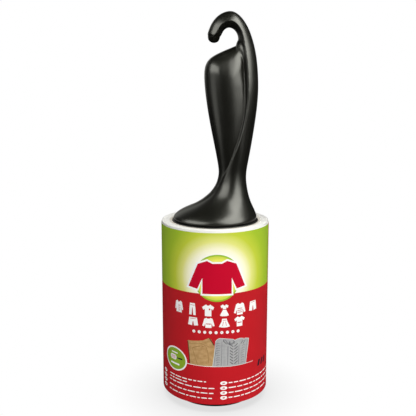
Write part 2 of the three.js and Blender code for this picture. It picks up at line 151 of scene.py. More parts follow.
def lathe(name, profile, segments, closed=True):
    """Turn a profile of (r, z) about Z; it closes on itself, or has both ends on the axis."""
    verts, rings = [], []
    for r, z in profile:
        if r < 1e-9:
            rings.append([len(verts)] * segments)
            verts.append((0, 0, z))
            continue
        rings.append(range(len(verts), len(verts) + segments))
        for k in range(segments):
            angle = 2 * math.pi * k / segments
            verts.append((r * math.cos(angle), r * math.sin(angle), z))
    faces = []
    for i in range(len(profile) if closed else len(profile) - 1):
        a, b = rings[i], rings[(i + 1) % len(profile)]
        for k in range(segments):
            k2 = (k + 1) % segments
            face = list(dict.fromkeys((a[k], a[k2], b[k2], b[k])))   # a triangle at the axis
            if len(face) >= 3:
                faces.append(face)
    obj = new_object(name, verts, faces)
    face_outwards(obj)
    return obj


def loft(name, rings, smooth=True):
    """Closed solid through rings of equally many points."""
    count = len(rings[0])
    faces = []
    for i in range(len(rings) - 1):
        a, b = i * count, (i + 1) * count
        for k in range(count):
            k2 = (k + 1) % count
            faces.append((a + k, a + k2, b + k2, b + k))
    last = (len(rings) - 1) * count
    faces.append(tuple(reversed(range(count))))
    faces.append(tuple(range(last, last + count)))
    obj = new_object(name, [point for ring in rings for point in ring], faces, smooth)
    face_outwards(obj)
    return obj


def box_object(name, low, high):
    x0, y0, z0 = low
    x1, y1, z1 = high
    verts = [(x, y, z) for z in (z0, z1) for x, y in ((x0, y0), (x1, y0), (x1, y1), (x0, y1))]
    faces = [(0, 3, 2, 1), (4, 5, 6, 7), (0, 1, 5, 4), (1, 2, 6, 5), (2, 3, 7, 6), (3, 0, 4, 7)]
    return new_object(name, verts, faces, smooth=False)


def rounded(points, radii, steps=4):
    """Closed polyline with each corner rounded to its radius."""
    out = []
    for i, radius in enumerate(radii):
        corner = np.array(points[i], float)
        if radius <= 0:
            out.append(tuple(corner))
            continue
        back = np.array(points[i - 1], float) - corner
        ahead = np.array(points[(i + 1) % len(points)], float) - corner
        back_len, ahead_len = np.linalg.norm(back), np.linalg.norm(ahead)
        back, ahead = back / back_len, ahead / ahead_len
        angle = math.acos(max(-1, min(1, float(back @ ahead))))
        reach = min(radius / math.tan(angle / 2), back_len * 0.49, ahead_len * 0.49)
        fitted = reach * math.tan(angle / 2)
        bisector = (back + ahead) / np.linalg.norm(back + ahead)
        centre = corner + bisector * (fitted / math.sin(angle / 2))
        start, end = corner + back * reach - centre, corner + ahead * reach - centre
        t0, t1 = math.atan2(start[1], start[0]), math.atan2(end[1], end[0])
        turn = (t1 - t0 + math.pi) % (2 * math.pi) - math.pi
        for k in range(steps + 1):
            t = t0 + turn * k / steps
            out.append((centre[0] + fitted * math.cos(t), centre[1] + fitted * math.sin(t)))
    return out


# =====================================================================
# materials
# =====================================================================
class Shader:
    """A Principled material being built; its methods add nodes and return output sockets."""

    def __init__(self, name):
        self.material = bpy.data.materials.new(name)
        self.material.use_nodes = True
        self.tree = self.material.node_tree
        self.tree.nodes.clear()
        self.output = self.add("OutputMaterial")
        self.principled = self.add("BsdfPrincipled")
        self.put(self.output.inputs[0], self.principled.outputs[0])

    def add(self, kind, **properties):
        node = self.tree.nodes.new("ShaderNode" + kind)
        for key, value in properties.items():
            setattr(node, key, value)
        return node

    def put(self, socket, value):
        """Link an output to the socket, or set it to a plain value."""
        if isinstance(value, bpy.types.NodeSocket):
            self.tree.links.new(value, socket)
        else:
            socket.default_value = value

    def surface(self, colour, roughness, specular=0.5):
        for key, value in (("Base Color", colour), ("Roughness", roughness),
                           ("Specular IOR Level", specular)):
            self.put(self.principled.inputs[key], value)

    def coords(self, scale=(1, 1, 1)):
        mapping = self.add("Mapping")
        mapping.inputs["Scale"].default_value = scale
        self.put(mapping.inputs[0], self.add("TexCoord").outputs["Object"])
        return mapping.outputs[0]

    def separate(self, vector):
        node = self.add("SeparateXYZ")
        self.put(node.inputs[0], vector)
        return node.outputs

    def object_xyz(self):
        return self.separate(self.add("TexCoord").outputs["Object"])

    def combine(self, *values):
        node = self.add("CombineXYZ")
        for socket, value in zip(node.inputs, values):
            self.put(socket, value)
        return node.outputs[0]

    def noise(self, vector, scale, detail=3.0, roughness=0.5):
        node = self.add("TexNoise")
        for key, value in (("Vector", vector), ("Scale", scale), ("Detail", detail),
                           ("Roughness", roughness)):
            self.put(node.inputs[key], value)
        return node.outputs[0]

    def ramp(self, factor, stops):
        """Colour ramp through stops of (position, colour)."""
        node = self.add("ValToRGB")
        elements = node.color_ramp.elements
        while len(elements) > 1:
            elements.remove(elements[-1])
        elements[0].position, elements[0].color = stops[0]
        for position, colour in stops[1:]:
            elements.new(position).color = colour
        self.put(node.inputs[0], factor)
        return node.outputs[0]

    def remap(self, value, span=(0.3, 0.7), to=(0.0, 1.0)):
        """Map span, by default the middle of a noise, to another range."""
        node = self.add("MapRange")
        for socket, number in zip(node.inputs[:5], (value, *span, *to)):
            self.put(socket, number)
        return node.outputs[0]

    def math(self, operation, *values):
        node = self.add("Math", operation=operation)
        for socket, value in zip(node.inputs, values):
            self.put(socket, value)
        return node.outputs[0]

    def plus(self, a, b):
        return self.math("ADD", a, b)

    def times(self, a, b):
        return self.math("MULTIPLY", a, b)

    def length(self, a, b):
        return self.math("SQRT", self.plus(self.times(a, a), self.times(b, b)))

    def turn(self, x, y):
        """Angle about Z as a part of a full turn."""
        return self.times(self.math("ARCTAN2", y, x), 1.0 / (2 * math.pi))

    def off_middle(self, value):
        """Distance from the middle of each unit repeat, 0 to 0.5."""
        return self.math("ABSOLUTE", self.math("SUBTRACT", self.math("FRACT", value), 0.5))

    def mix(self, factor, a, b):
        node = self.add("Mix", data_type="RGBA")
        for index, value in ((0, factor), (6, a), (7, b)):
            self.put(node.inputs[index], value)
        return node.outputs[2]

    def bump(self, height, strength, depth):
        """depth in mm"""
        node = self.add("Bump")
        node.inputs["Strength"].default_value = strength
        node.inputs["Distance"].default_value = depth * MM
        self.put(node.inputs["Height"], height)
        self.put(self.principled.inputs["Normal"], node.outputs[0])


def srgb(*tone):
    """Linear RGBA of an sRGB tone in 0..255."""
    tone = [c / 255.0 for c in tone]
    return (*[c / 12.92 if c <= 0.04045 else ((c + 0.055) / 1.055) ** 2.4 for c in tone], 1.0)


def scaled(tone, factor):
    return srgb(*[c * factor for c in tone])


def black_plastic(name, rough, rough_var, tone, bump_depth):
    """Cloudy black with a fine grain and upright scuffs."""
    n = Shader(name)
    vector = n.coords()
    cloud = n.noise(vector, scale=45.0)
    grain = n.noise(vector, scale=420.0, detail=2.0)
    scuff = n.noise(n.coords((1.0, 1.0, 0.12)), scale=900.0, detail=4.0, roughness=0.6)
    colour = n.mix(n.remap(cloud), srgb(*tone), scaled(tone, 1.22))
    roughness = n.plus(n.remap(cloud, to=(rough - rough_var, rough + rough_var)),
                       n.remap(scuff, span=(0.55, 0.8), to=(0.0, rough_var * 1.6)))
    n.surface(colour, roughness)
    n.bump(grain, strength=0.08, depth=bump_depth)
    return n.material


def board_material():
    """Pale fibrous board with the spiral joint of its wound strip."""
    pitch = 0.055          # rise of the strip in one turn, metres
    joint_half = 0.008     # half width of the joint, as a part of the pitch
    n = Shader("core_board")
    x, y, z = n.object_xyz()
    winding = n.plus(n.times(z, 1.0 / pitch), n.turn(x, y))
    joint = n.math("LESS_THAN", n.off_middle(winding), joint_half)
    fibres = n.noise(n.coords((1, 1, 0.25)), scale=2200.0, detail=5.0, roughness=0.65)
    cloud = n.noise(n.coords(), scale=160.0, detail=4.0)
    colour = n.mix(n.remap(fibres), srgb(222, 216, 203), srgb(236, 231, 221))
    colour = n.mix(n.remap(cloud, span=(0.35, 0.7), to=(0.0, 0.3)), colour, srgb(210, 201, 184))
    colour = n.mix(n.times(joint, 0.5), colour, srgb(180, 166, 142))
    n.surface(colour, roughness=0.88)
    n.bump(fibres, strength=0.3, depth=0.06)
    return n.material


def paper_material(name, tone_a, tone_b, rough, layers):
    """Fibrous white paper; layers adds the turns of a winding, seen on the end faces."""
    n = Shader(name)
    vector = n.coords()
    fibre = n.noise(vector, scale=3000.0, detail=4.0, roughness=0.6)
    cloud = n.noise(vector, scale=120.0)
    colour = n.mix(n.remap(fibre), srgb(*tone_a), srgb(*tone_b))
    colour = n.mix(n.remap(cloud, span=(0.4, 0.75), to=(0.0, 0.25)), colour, scaled(tone_a, 0.97))
    if layers:
        layer_step = 0.16 * MM
        x, y, _ = n.object_xyz()
        spiral = n.plus(n.times(n.length(x, y), 1.0 / layer_step), n.turn(x, y))
        band = n.noise(n.combine(spiral), scale=0.9, detail=2.0)
        band_mask = n.remap(band, span=(0.5, 0.72), to=(0.0, 0.6))
        colour = n.mix(band_mask, colour, scaled(tone_a, 0.9))
        n.bump(n.plus(band, n.times(fibre, 0.25)), strength=0.35, depth=0.05)
    else:
        n.bump(fibre, strength=0.2, depth=0.02)
    n.surface(colour, rough)
    return n.material


M_HANDLE = black_plastic("handle_black", rough=0.315, rough_var=0.02, tone=(14, 14, 9),
                         bump_depth=0.0015)
M_SPOOL = black_plastic("spool_black", rough=0.46, rough_var=0.03, tone=(12, 12, 12),
                        bump_depth=0.02)
M_BOARD = board_material()
M_PAPER = paper_material("roll_paper", tone_a=(252, 251, 246), tone_b=(255, 254, 250),
                         rough=0.7, layers=True)
M_SHEET = paper_material("sheet_adhesive", tone_a=(248, 247, 241), tone_b=(253, 252, 248),
                         rough=0.42, layers=False)

# =====================================================================
# handle: outer form, held as half depth in y, squared, over the x-z plane
# =====================================================================
# palm: z, left, centre and right x, half depth, squareness of the left and right flank
PALM = np.array([
    (104.0, -24.6, -19.3, -14.0, 4.0, 0, 0),
    (108.6, -23.9, -18.45, -13.0, 4.5, 0, 0),
    (110.6, -22.85, -17.2, -11.5, 4.8, 0, 0),
    (113.0, -19.25, -13.6, -8.0, 5.0, 0, 0),
    (115.3, -13.4, -7.7, -2.0, 5.1, 0, 0),
    (117.7, -8.9, -2.95, 3.0, 5.3, 0, 0),
    (120.1, -5.6, 0.5, 6.6, 5.5, 0, 0),
    (122.5, -2.93, 3.0, 9.0, 5.6, 0, 0),
    (124.8, -1.09, 4.75, 10.6, 5.8, 0, 0),
    (127.2, 0.34, 5.95, 11.6, 5.9, 0, 0),
    (129.5, 1.24, 6.7, 12.2, 6.1, 0, 0),
    (131.9, 1.80, 7.2, 12.6, 6.3, 0, 0),
    (134.2, 2.11, 7.45, 12.9, 6.8, 0, 0),
    (136.5, 1.95, 7.5, 13.3, 7.2, 0, 0),
    (141.2, 1.23, 7.4, 14.6, 8.0, 0, 0),
    (148.1, -0.07, 7.2, 16.8, 9.1, 0, 0),
    (155.0, -1.48, 7.0, 18.6, 10.1, 0, 0),
    (161.9, -2.84, 6.8, 19.8, 10.8, 0, 0),
    (168.7, -4.05, 6.6, 20.6, 11.3, 0, 0),
    (175.4, -5.08, 6.2, 20.2, 11.6, 0, 0.05),
    (179.9, -5.64, 5.9, 19.2, 11.8, 0.02, 0.1),
    (184.4, -6.06, 5.6, 18.4, 11.95, 0.02, 0.15),
    (188.8, -6.28, 5.3, 17.7, 12.05, 0.02, 0.12),
    (193.2, -6.35, 5.1, 17.2, 12.1, 0.02, 0.1),
    (199.0, -6.35, 5.0, 17.0, 12.1, 0.02, 0.1),
    (208.0, -6.35, 5.0, 17.0, 12.1, 0.02, 0.1)])
SHOULDER_REACH = (14.0, 18.0)   # in-plane reach of the palm's rounded top, left and right
SHOULDER_POWER = (4.8, 2.1)     # how squarely it turns over, left and right

# ribbon, from the hook's tip over and down the right side to the skirt:
# outer x, z, inner x, z, half depth, crease at (0 outer, 1 inner), arc width
RIBBON = np.array([
    (-4.3, 206.7, 2, 206.1, 8.2, 0.65, 2.646),
    (-4.62, 208.9, 2.5, 208.45, 8.31, 0.65, 2.646),
    (-4.7, 210.9, 2.9, 210.3, 8.44, 0.65, 2.646),
    (-4.08, 213.2, 3.5, 211.9, 8.56, 0.65, 2.646),
    (-2.5, 217.4, 4.45, 213.75, 8.67, 0.65, 2.646),
    (0.65, 221.45, 5.6, 214.85, 8.67, 0.65, 2.646),
    (4.65, 223.92, 6.8, 215.4, 8.67, 0.65, 2.646),
    (8.87, 224.68, 8, 215.55, 8.67, 0.65, 2.646),
    (12.35, 223.05, 9.8, 214.9, 8.8, 0.65, 2.646),
    (15.85, 219.55, 11.4, 213.4, 9.15, 0.66, 3.0),
    (18.45, 215.1, 12.4, 211.3, 9.41, 0.66, 3.0),
    (20.25, 210.71, 12.8, 209, 9.66, 0.66, 3.0),
    (22.14, 204.19, 12.7, 204.7, 10.2, 0.64, 2.95),
    (23.35, 197.62, 12.6, 198.6, 11.1, 0.56, 2.8),
    (24.13, 188.8, 12.3, 189.6, 11.5, 0.51, 2.4),
    (24.31, 181.3, 12.2, 181.8, 11.8, 0.5, 2.2),
    (23.86, 173.18, 11.6, 173.3, 11.8, 0.48, 2.0),
    (22.8, 164.14, 10.2, 164.1, 11.8, 0.49, 1.8),
    (21.5, 155.4, 8.3, 155.3, 11.1, 0.53, 1.5),
    (20.4, 148.5, 6.5, 148.4, 10.2, 0.6, 1.11),
    (19.08, 141.18, 4.6, 141.1, 9.6, 0.71, 1),
    (18.05, 135.3, 3.4, 135.3, 9.1, 0.8, 1.02),
    (17.9, 131.9, 2.8, 131.9, 9.35, 0.86, 1.02),
    (18.02, 129.2, 2.2, 129.2, 9.75, 0.91, 1.01),
    (18.42, 126.2, 0.9, 126.2, 10.45, 0.94, 1),
    (19.12, 122.45, -1.7, 122.45, 11.9, 0.955, 1),
    (19.75, 120.1, -4.4, 120.1, 13.15, 0.96, 1),
    (20.53, 117.7, -7.8, 117.7, 15.05, 0.965, 1),
    (21.54, 115.3, -12.4, 115.3, 17.45, 0.97, 1),
    (22.7, 113, -18.3, 113, 20.5, 0.975, 1),
    (23.7, 110.6, -22.5, 110.6, 23.1, 0.98, 1),
    (24.27, 108.6, -24.25, 108.6, 24.25, 0.985, 1),
    (24.35, 106.6, -24.35, 106.6, 24.35, 0.985, 1),
    (24.35, 104, -24.35, 104, 24.35, 0.985, 1)])
TIP_X, TIP_Z, TIP_R = -0.80, 210.95, 3.75
TIP_AXIS = (0.10, 0.995)        # x, z of the direction back into the hook
TIP_RUN = 12.0                  # run of edge plus centre line over which the end face acts
SKIRT_R, SKIRT_ROUND = 24.4, 1.9
OUTSIDE = -60.0                 # depth squared given to places well outside
GRID_STEP = 0.15
GRID_X0, GRID_X1, GRID_Z0, GRID_Z1 = -28.5, 28.5, 103.0, 227.5


def pchip(keys, values, at):
    """Cubic interpolation that does not overshoot its samples."""
    h = np.diff(keys)
    slope = np.diff(values) / h
    tangent = np.zeros(len(keys))
    w1, w2 = 2 * h[1:] + h[:-1], h[1:] + 2 * h[:-1]
    same_sign = slope[:-1] * slope[1:] > 0
    with np.errstate(divide="ignore", invalid="ignore"):
        harmonic = (w1 + w2) / (w1 / slope[:-1] + w2 / slope[1:])
        tangent[1:-1] = np.where(same_sign, harmonic, 0.0)
    tangent[0], tangent[-1] = slope[0], slope[-1]
    i = np.clip(np.searchsorted(keys, at) - 1, 0, len(keys) - 2)
    s = np.clip((at - keys[i]) / h[i], 0, 1)
    s2, s3 = s * s, s * s * s
    return ((2 * s3 - 3 * s2 + 1) * values[i] + (s3 - 2 * s2 + s) * h[i] * tangent[i]
            + (-2 * s3 + 3 * s2) * values[i + 1] + (s3 - s2) * h[i] * tangent[i + 1])


def columns_at(keys, table, at):
    return np.stack([pchip(keys, column, at) for column in table.T], axis=1)


def gauss(samples, sigma):
    """Gaussian smoothing along axis 0, with the ends mirrored through their last points."""
    n = int(math.ceil(3.5 * sigma))
    kernel = np.exp(-0.5 * (np.arange(-n, n + 1) / sigma) ** 2)
    kernel /= kernel.sum()
    out = np.empty_like(samples)
    for c in range(samples.shape[1]):
        v = samples[:, c]
        before = 2 * v[0] - v[1:n + 1][::-1]
        after = 2 * v[-1] - v[-n - 1:-1][::-1]
        out[:, c] = np.convolve(np.concatenate([before, v, after]), kernel, mode="valid")
    return out


def smooth_min(a, b, blend):
    h = np.maximum(blend - np.abs(a - b), 0.0) / blend
    return np.minimum(a, b) - h * h * blend * 0.25


def smooth_max(a, b, blend):
    return -smooth_min(-a, -b, blend)


def smoothstep(t):
    t = np.clip(t, 0, 1)
    return t * t * (3 - 2 * t)


def palm_depth2(x, z):
    """Depth squared of the palm, with its rounded top."""
    fine_z = np.arange(PALM[0, 0], PALM[-1, 0] + 1e-6, 0.1)
    rows = gauss(columns_at(PALM[:, 0], PALM[:, 1:], fine_z), 12.0)
    left, centre, right, depth, square_left, square_right = (
        np.interp(z, fine_z, column) for column in rows.T)
    across = (x - centre) / np.where(x < centre, centre - left, right - centre)
    square = square_left + (square_right - square_left) * smoothstep(across + 0.5)
    across2 = np.minimum((1 - square) * across ** 2 + square * across ** 6, 60.0)
    top = 204.25 + 0.39 * (x - 8.0) - 0.006 * (x - 8.0) ** 2
    to_right = smoothstep((x - 0.5) / 9.5)
    reach = SHOULDER_REACH[0] + (SHOULDER_REACH[1] - SHOULDER_REACH[0]) * to_right
    power = SHOULDER_POWER[0] + (SHOULDER_POWER[1] - SHOULDER_POWER[0]) * to_right

    def drop(r, p):
        return r * (1.0 - (1.0 - np.minimum(across2, 0.9) ** (p / 2)) ** (1.0 / p))
    # the outline of the shoulder stays put whatever the rounding
    top = top + drop(reach, power) - drop(SHOULDER_REACH[0], SHOULDER_POWER[0])
    rise = np.maximum(1.0 - (top - z) / reach, 0.0)
    turned = (across2 ** (power / 2) + rise ** power) ** (2.0 / power)
    return depth * depth * (1.0 - np.where(rise > 0, turned, across2))


def ribbon_depth2(nx, nz):
    """Depth squared of the ribbon on the grid: nearest sample, with a linear correction."""
    row_numbers = np.arange(len(RIBBON), dtype=float)
    rows = columns_at(row_numbers, RIBBON, np.arange(0, len(RIBBON) - 1 + 1e-9, 0.02))
    rows = gauss(rows, 24.0)
    # resample evenly along the outer edge and the centre line together
    centre_x, centre_z = (rows[:, 0] + rows[:, 2]) / 2, (rows[:, 1] + rows[:, 3]) / 2
    steps = (np.hypot(np.diff(rows[:, 0]), np.diff(rows[:, 1]))
             + np.hypot(np.diff(centre_x), np.diff(centre_z)))
    run = np.concatenate([[0], np.cumsum(steps)])
    even = np.linspace(0, run[-1], 3600)
    rows = gauss(np.stack([np.interp(even, run, column) for column in rows.T], axis=1), 8.0)
    u = np.linspace(-0.16, 1.12, 420)[None, :]      # 0 at the outer edge, 1 at the inner
    outer_x, outer_z, inner_x, inner_z, half, crease, width = (c[:, None] for c in rows.T)
    px, pz = outer_x + (inner_x - outer_x) * u, outer_z + (inner_z - outer_z) * u
    arc = 4 * half * half * (u / width) * (1 - u / width)
    crease2 = 4 * half * half * (crease / width) * (1 - crease / width)
    t = (1 - u) / (1 - crease)
    wall = crease2 * np.where(t > 0, 0.45 * t + 0.55 * t * t, 0.45 * t)
    # end of the hook: a slanted face round the tip
    dx, dz = px - TIP_X, pz - TIP_Z
    along = dx * TIP_AXIS[0] + dz * TIP_AXIS[1]
    aside = dx * TIP_AXIS[1] - dz * TIP_AXIS[0]
    inward = (TIP_R - np.sqrt(aside * aside + np.minimum(along, 0.0) ** 2)
              + np.maximum(along, 0.0) * 1.35)
    t = inward / 3.6
    end = 44.0 * np.where(t > 0, 0.5 * t + 0.5 * t * t, 0.5 * t)
    end = end + np.maximum(even[:, None] - TIP_RUN, 0.0) ** 2 * 20.0
    blend = np.minimum(2.2 + 10.8 * np.clip((pz - 145.0) / 30.0, 0, 1), 0.3 * crease2 + 0.8)
    value = smooth_min(smooth_min(arc, wall, blend), end, blend)
    # gradient in x and z, through the derivatives along and across the ribbon
    dv_t, dv_u = np.gradient(value)
    dx_t, dx_u = np.gradient(px)
    dz_t, dz_u = np.gradient(pz)
    det = dx_t * dz_u - dx_u * dz_t
    det = np.where(np.abs(det) < 1e-9, 1e-9, det)
    grad_x = (dv_t * dz_u - dv_u * dz_t) / det
    grad_z = (dx_t * dv_u - dx_u * dv_t) / det
    i = np.rint((px - GRID_X0) / GRID_STEP).astype(int)
    j = np.rint((pz - GRID_Z0) / GRID_STEP).astype(int)
    ok = (i >= 0) & (i < nx) & (j >= 0) & (j < nz)
    i, j, px, pz, value, grad_x, grad_z = (a[ok] for a in (i, j, px, pz, value, grad_x, grad_z))
    dx, dz = GRID_X0 + i * GRID_STEP - px, GRID_Z0 + j * GRID_STEP - pz
    order = np.argsort(-(dx * dx + dz * dz), kind="stable")     # the nearest is written last
    out = np.full((nx, nz), OUTSIDE)
    out[i[order], j[order]] = (value + grad_x * dx + grad_z * dz)[order]
    return out


def depth2_grid():
    """Depth squared of the whole handle on the grid."""
    nx = int(round((GRID_X1 - GRID_X0) / GRID_STEP)) + 1
    nz = int(round((GRID_Z1 - GRID_Z0) / GRID_STEP)) + 1
    x, z = np.meshgrid(GRID_X0 + GRID_STEP * np.arange(nx), GRID_Z0 + GRID_STEP * np.arange(nz),
                       indexing="ij")
    # palm and ribbon blend softly, most of all where they meet under the hook
    hook2 = (x - 11.8) ** 2 + 0.6 * (z - 205.0) ** 2
    blend = (3.0 + 9.0 * np.clip((z - 138.0) / 14.0, 0.0, 1.0)
             + 80.0 * np.exp(-hook2 / (2 * 3.4 ** 2)))
    depth2 = smooth_max(np.maximum(palm_depth2(x, z), OUTSIDE), ribbon_depth2(nx, nz), blend)
    # rounded lower edge of the skirt
    up = np.clip(z - (SKIRT_Z0 - 0.25), 0.02, SKIRT_ROUND)
    inset = SKIRT_ROUND - np.sqrt(np.maximum(SKIRT_ROUND ** 2 - (SKIRT_ROUND - up) ** 2, 0))
    rim = (SKIRT_R - inset) ** 2 - x * x
    depth2 = np.where(z < SKIRT_Z0 + 6.0, smooth_min(depth2, rim, 14.0), depth2)
    depth2 = np.maximum(depth2, OUTSIDE)
    return gauss(gauss(depth2, 1.3).T, 1.3).T


def cubic_lookup(grid, x, z):
    """Catmull-Rom value and gradient of the grid at points."""
    fx, fz = (x - GRID_X0) / GRID_STEP, (z - GRID_Z0) / GRID_STEP
    i = np.clip(np.floor(fx).astype(int), 1, grid.shape[0] - 3)
    j = np.clip(np.floor(fz).astype(int), 1, grid.shape[1] - 3)

    def weights(s):
        return (np.stack([-0.5 * s + s * s - 0.5 * s ** 3, 1 - 2.5 * s * s + 1.5 * s ** 3,
                          0.5 * s + 2 * s * s - 1.5 * s ** 3, -0.5 * s * s + 0.5 * s ** 3]),
                np.stack([-0.5 + 2 * s - 1.5 * s * s, -5 * s + 4.5 * s * s,
                          0.5 + 4 * s - 4.5 * s * s, -s + 1.5 * s * s]))
    wx, dwx = weights(fx - i)
    wz, dwz = weights(fz - j)
    value, grad_x, grad_z = (np.zeros_like(x) for _ in range(3))
    for a in range(4):
        for b in range(4):
            g = grid[i - 1 + a, j - 1 + b]
            value += g * wx[a] * wz[b]
            grad_x += g * dwx[a] * wz[b]
            grad_z += g * wx[a] * dwz[b]
    return value, grad_x / GRID_STEP, grad_z / GRID_STEP


def surface_net(field, origin, step):
    """Closed quad mesh of field = 0 (positive inside) by surface nets."""
    nx, ny, nz = field.shape
    inside = field > 0
    total = sum(inside[dx:nx - 1 + dx, dy:ny - 1 + dy, dz:nz - 1 + dz].astype(np.int8)
                for dx in (0, 1) for dy in (0, 1) for dz in (0, 1))
    active = (total > 0) & (total < 8)
    cells = np.nonzero(active)
    count = len(cells[0])
    ids = np.full(active.shape, -1, dtype=np.int64)
    ids[cells] = np.arange(count)
    # each vertex is the mean of the crossings on the edges of its cell
    position, crossings = np.zeros((count, 3)), np.zeros(count)
    for axis in range(3):
        others = [a for a in range(3) if a != axis]
        for da in (0, 1):
            for db in (0, 1):
                start = [0, 0, 0]
                start[others[0]], start[others[1]] = da, db
                end = list(start)
                end[axis] = 1
                f0, f1 = (field[tuple(c + o for c, o in zip(cells, offset))]
                          for offset in (start, end))
                cross = (f0 > 0) != (f1 > 0)
                point = np.zeros((count, 3))
                point[:, others[0]], point[:, others[1]] = da, db
                point[:, axis] = np.where(cross, f0 / np.where(cross, f0 - f1, 1.0), 0.0)
                position += point * cross[:, None]
                crossings += cross
    position /= crossings[:, None]
    verts = (np.stack(cells, axis=1) + position) * step + np.asarray(origin)
    # one quad round every grid edge that crosses the surface
    faces = []
    for axis in range(3):
        lower, upper = [slice(None)] * 3, [slice(None)] * 3
        lower[axis], upper[axis] = slice(0, -1), slice(1, None)
        a, b = inside[tuple(lower)], inside[tuple(upper)]
        edge = np.nonzero(a != b)
        keep = a[edge]
        others = [k for k in range(3) if k != axis]

        def cell(d0, d1):
            index = list(edge)
            index[others[0]] = edge[others[0]] - 1 + d0
            index[others[1]] = edge[others[1]] - 1 + d1
            return ids[tuple(index)]
        quad = np.stack([cell(0, 0), cell(1, 0), cell(1, 1), cell(0, 1)], axis=1)
        if axis == 1:
            keep = ~keep
        quad[~keep] = quad[~keep][:, ::-1]
        faces.append(quad)
    return verts, np.concatenate(faces)


def handle_outer(step):
    """Outer skin of the whole handle, drawn onto y squared = depth squared."""
    grid = depth2_grid()
    half = 26.0
    ys = -half + step * np.arange(int(round(2 * half / step)) + 1)
    xs = np.arange(GRID_X0 + 1.5, GRID_X1 - 1.5, step)
    zs = np.arange(SKIRT_Z0 - 2.0, 226.0, step)
    x, z = np.meshgrid(xs, zs, indexing="ij")
    depth2 = cubic_lookup(grid, x.ravel(), z.ravel())[0].reshape(x.shape)
    field = depth2[:, None, :] - (ys ** 2)[None, :, None]
    field[:, :, 0] = -1.0       # closes the bottom
    verts, faces = surface_net(np.clip(field, -60, 60), (xs[0], ys[0], zs[0]), step)
    for _ in range(3):
        value, grad_x, grad_z = cubic_lookup(grid, verts[:, 0], verts[:, 2])
        value = value - verts[:, 1] ** 2
        grad = np.stack([grad_x, -2 * verts[:, 1], grad_z], axis=1)
        move = -(value / np.maximum((grad * grad).sum(axis=1), 1.0))[:, None] * grad
        length = np.linalg.norm(move, axis=1)
        move *= np.minimum(1.0, 0.3 / np.maximum(length, 1e-9))[:, None]
        move[verts[:, 2] < zs[0] + step * 1.01] = 0
        verts = verts + move
    return verts, faces


# =====================================================================
# handle: hollow, webs, posts, and the two shells
# =====================================================================
# main hollow: z, centre x, half width, half depth
CAVITY = np.array([
    (SKIRT_Z0 - 2.5, 0.0, 21.6, 21.6), (109.6, 0.0, 21.2, 21.2), (111.2, 0.6, 19.2, 19.6),
    (113.2, 2.4, 15.9, 16.8), (115.4, 4.8, 12.6, 13.6), (117.7, 6.6, 10.6, 11.2),
    (120.1, 7.9, 9.0, 9.4), (122.5, 8.8, 7.8, 8.0), (126.0, 9.6, 6.4, 6.9),
    (129.5, 9.9, 5.7, 6.4), (134.2, 10.0, 5.6, 6.3), (141.2, 9.8, 6.1, 6.6),
    (150.0, 8.6, 6.6, 7.2), (160.0, 6.1, 6.4, 8.4), (170.0, 5.4, 7.4, 9.2),
    (180.0, 4.8, 8.2, 9.7), (188.0, 4.5, 8.5, 9.2), (194.0, 5.2, 7.6, 7.4),
    (197.5, 6.5, 6.0, 5.2), (199.5, 7.6, 3.6, 3.2)])
POSTS = [(8.6, 147.0), (5.8, 166.0), (4.8, 186.0)]      # x, z of the locating posts
POST_R, PIN_R, SOCKET_R = 3.4, 1.5, 1.65
PARTING = 0.05                                          # from y = 0 to the face of each shell

SHAFT_R, COLLAR_R = 4.0, 8.0
COLLAR_Z = (AXLE_Z1 - 4.7, AXLE_Z1 - 2.7)
FIT = 0.12                                              # play round the axle in the webs
POCKET_Z = (COLLAR_Z[0] - FIT, COLLAR_Z[1] + FIT)
POCKET_R = COLLAR_R + 0.15
WEB_Z = (SKIRT_Z0 + 1.1, SKIRT_Z0 + 8.0)
WEB_R = 21.9


def cavity_object():
    zs = np.linspace(CAVITY[0, 0], CAVITY[-1, 0], 90)
    angles = [2 * math.pi * k / 72 for k in range(72)]
    rows = columns_at(CAVITY[:, 0], CAVITY[:, 1:], zs)
    return loft("cavity", [[(centre + width * math.cos(t), depth * math.sin(t), z)
                            for t in angles] for z, (centre, width, depth) in zip(zs, rows)])


def cross_pin(name, x, z, r, y0, y1):
    """Round chamfered pin along Y."""
    chamfer = 0.25
    obj = lathe(name, [(0.0, y0), (r - chamfer, y0), (r, y0 + chamfer), (r, y1 - chamfer),
                       (r - chamfer, y1), (0.0, y1)], 48, closed=False)
    old = np.array([tuple(v.co) for v in obj.data.vertices])
    new = np.stack([old[:, 0] + x * MM, old[:, 2], -old[:, 1] + z * MM], axis=1)
    obj.data.vertices.foreach_set("co", new.ravel())
    obj.data.update()
    face_outwards(obj)
    return obj


def spine_bar(name, half, y_back, z_low, z_high):
    """Long upright bar from the front of the hollow's wall, across the parting plane."""
    bite = 0.3      # how far it goes into the wall
    zs = np.linspace(z_low, z_high, 40)
    rows = columns_at(CAVITY[:, 0], CAVITY[:, 1:], np.minimum(zs, CAVITY[-1, 0]))
    rings = [[(x - half, -depth - bite, z), (x + half, -depth - bite, z),
              (x + half, y_back, z), (x - half, y_back, z)] for z, (x, _, depth) in zip(zs, rows)]
    return loft(name, rings, smooth=False)


def hollow():
    """Inside of the handle: the main hollow less the axle webs and the locating posts."""
    cavity = cavity_object()
    bore = SHAFT_R + FIT
    web = lathe("web", [(bore, WEB_Z[0]), (WEB_R, WEB_Z[0]), (WEB_R, WEB_Z[1]), (bore, WEB_Z[1]),
                        (bore, POCKET_Z[1]), (POCKET_R, POCKET_Z[1]), (POCKET_R, POCKET_Z[0]),
                        (bore, POCKET_Z[0])], 96)
    boolean(web, box_object("web_band", (-30, -8, 100), (30, 8, 125)), "INTERSECT")
    boolean(cavity, web, "DIFFERENCE")
    for x, z in POSTS:
        boolean(cavity, cross_pin("post", x, z, POST_R, -14, 14), "DIFFERENCE")
    return cavity


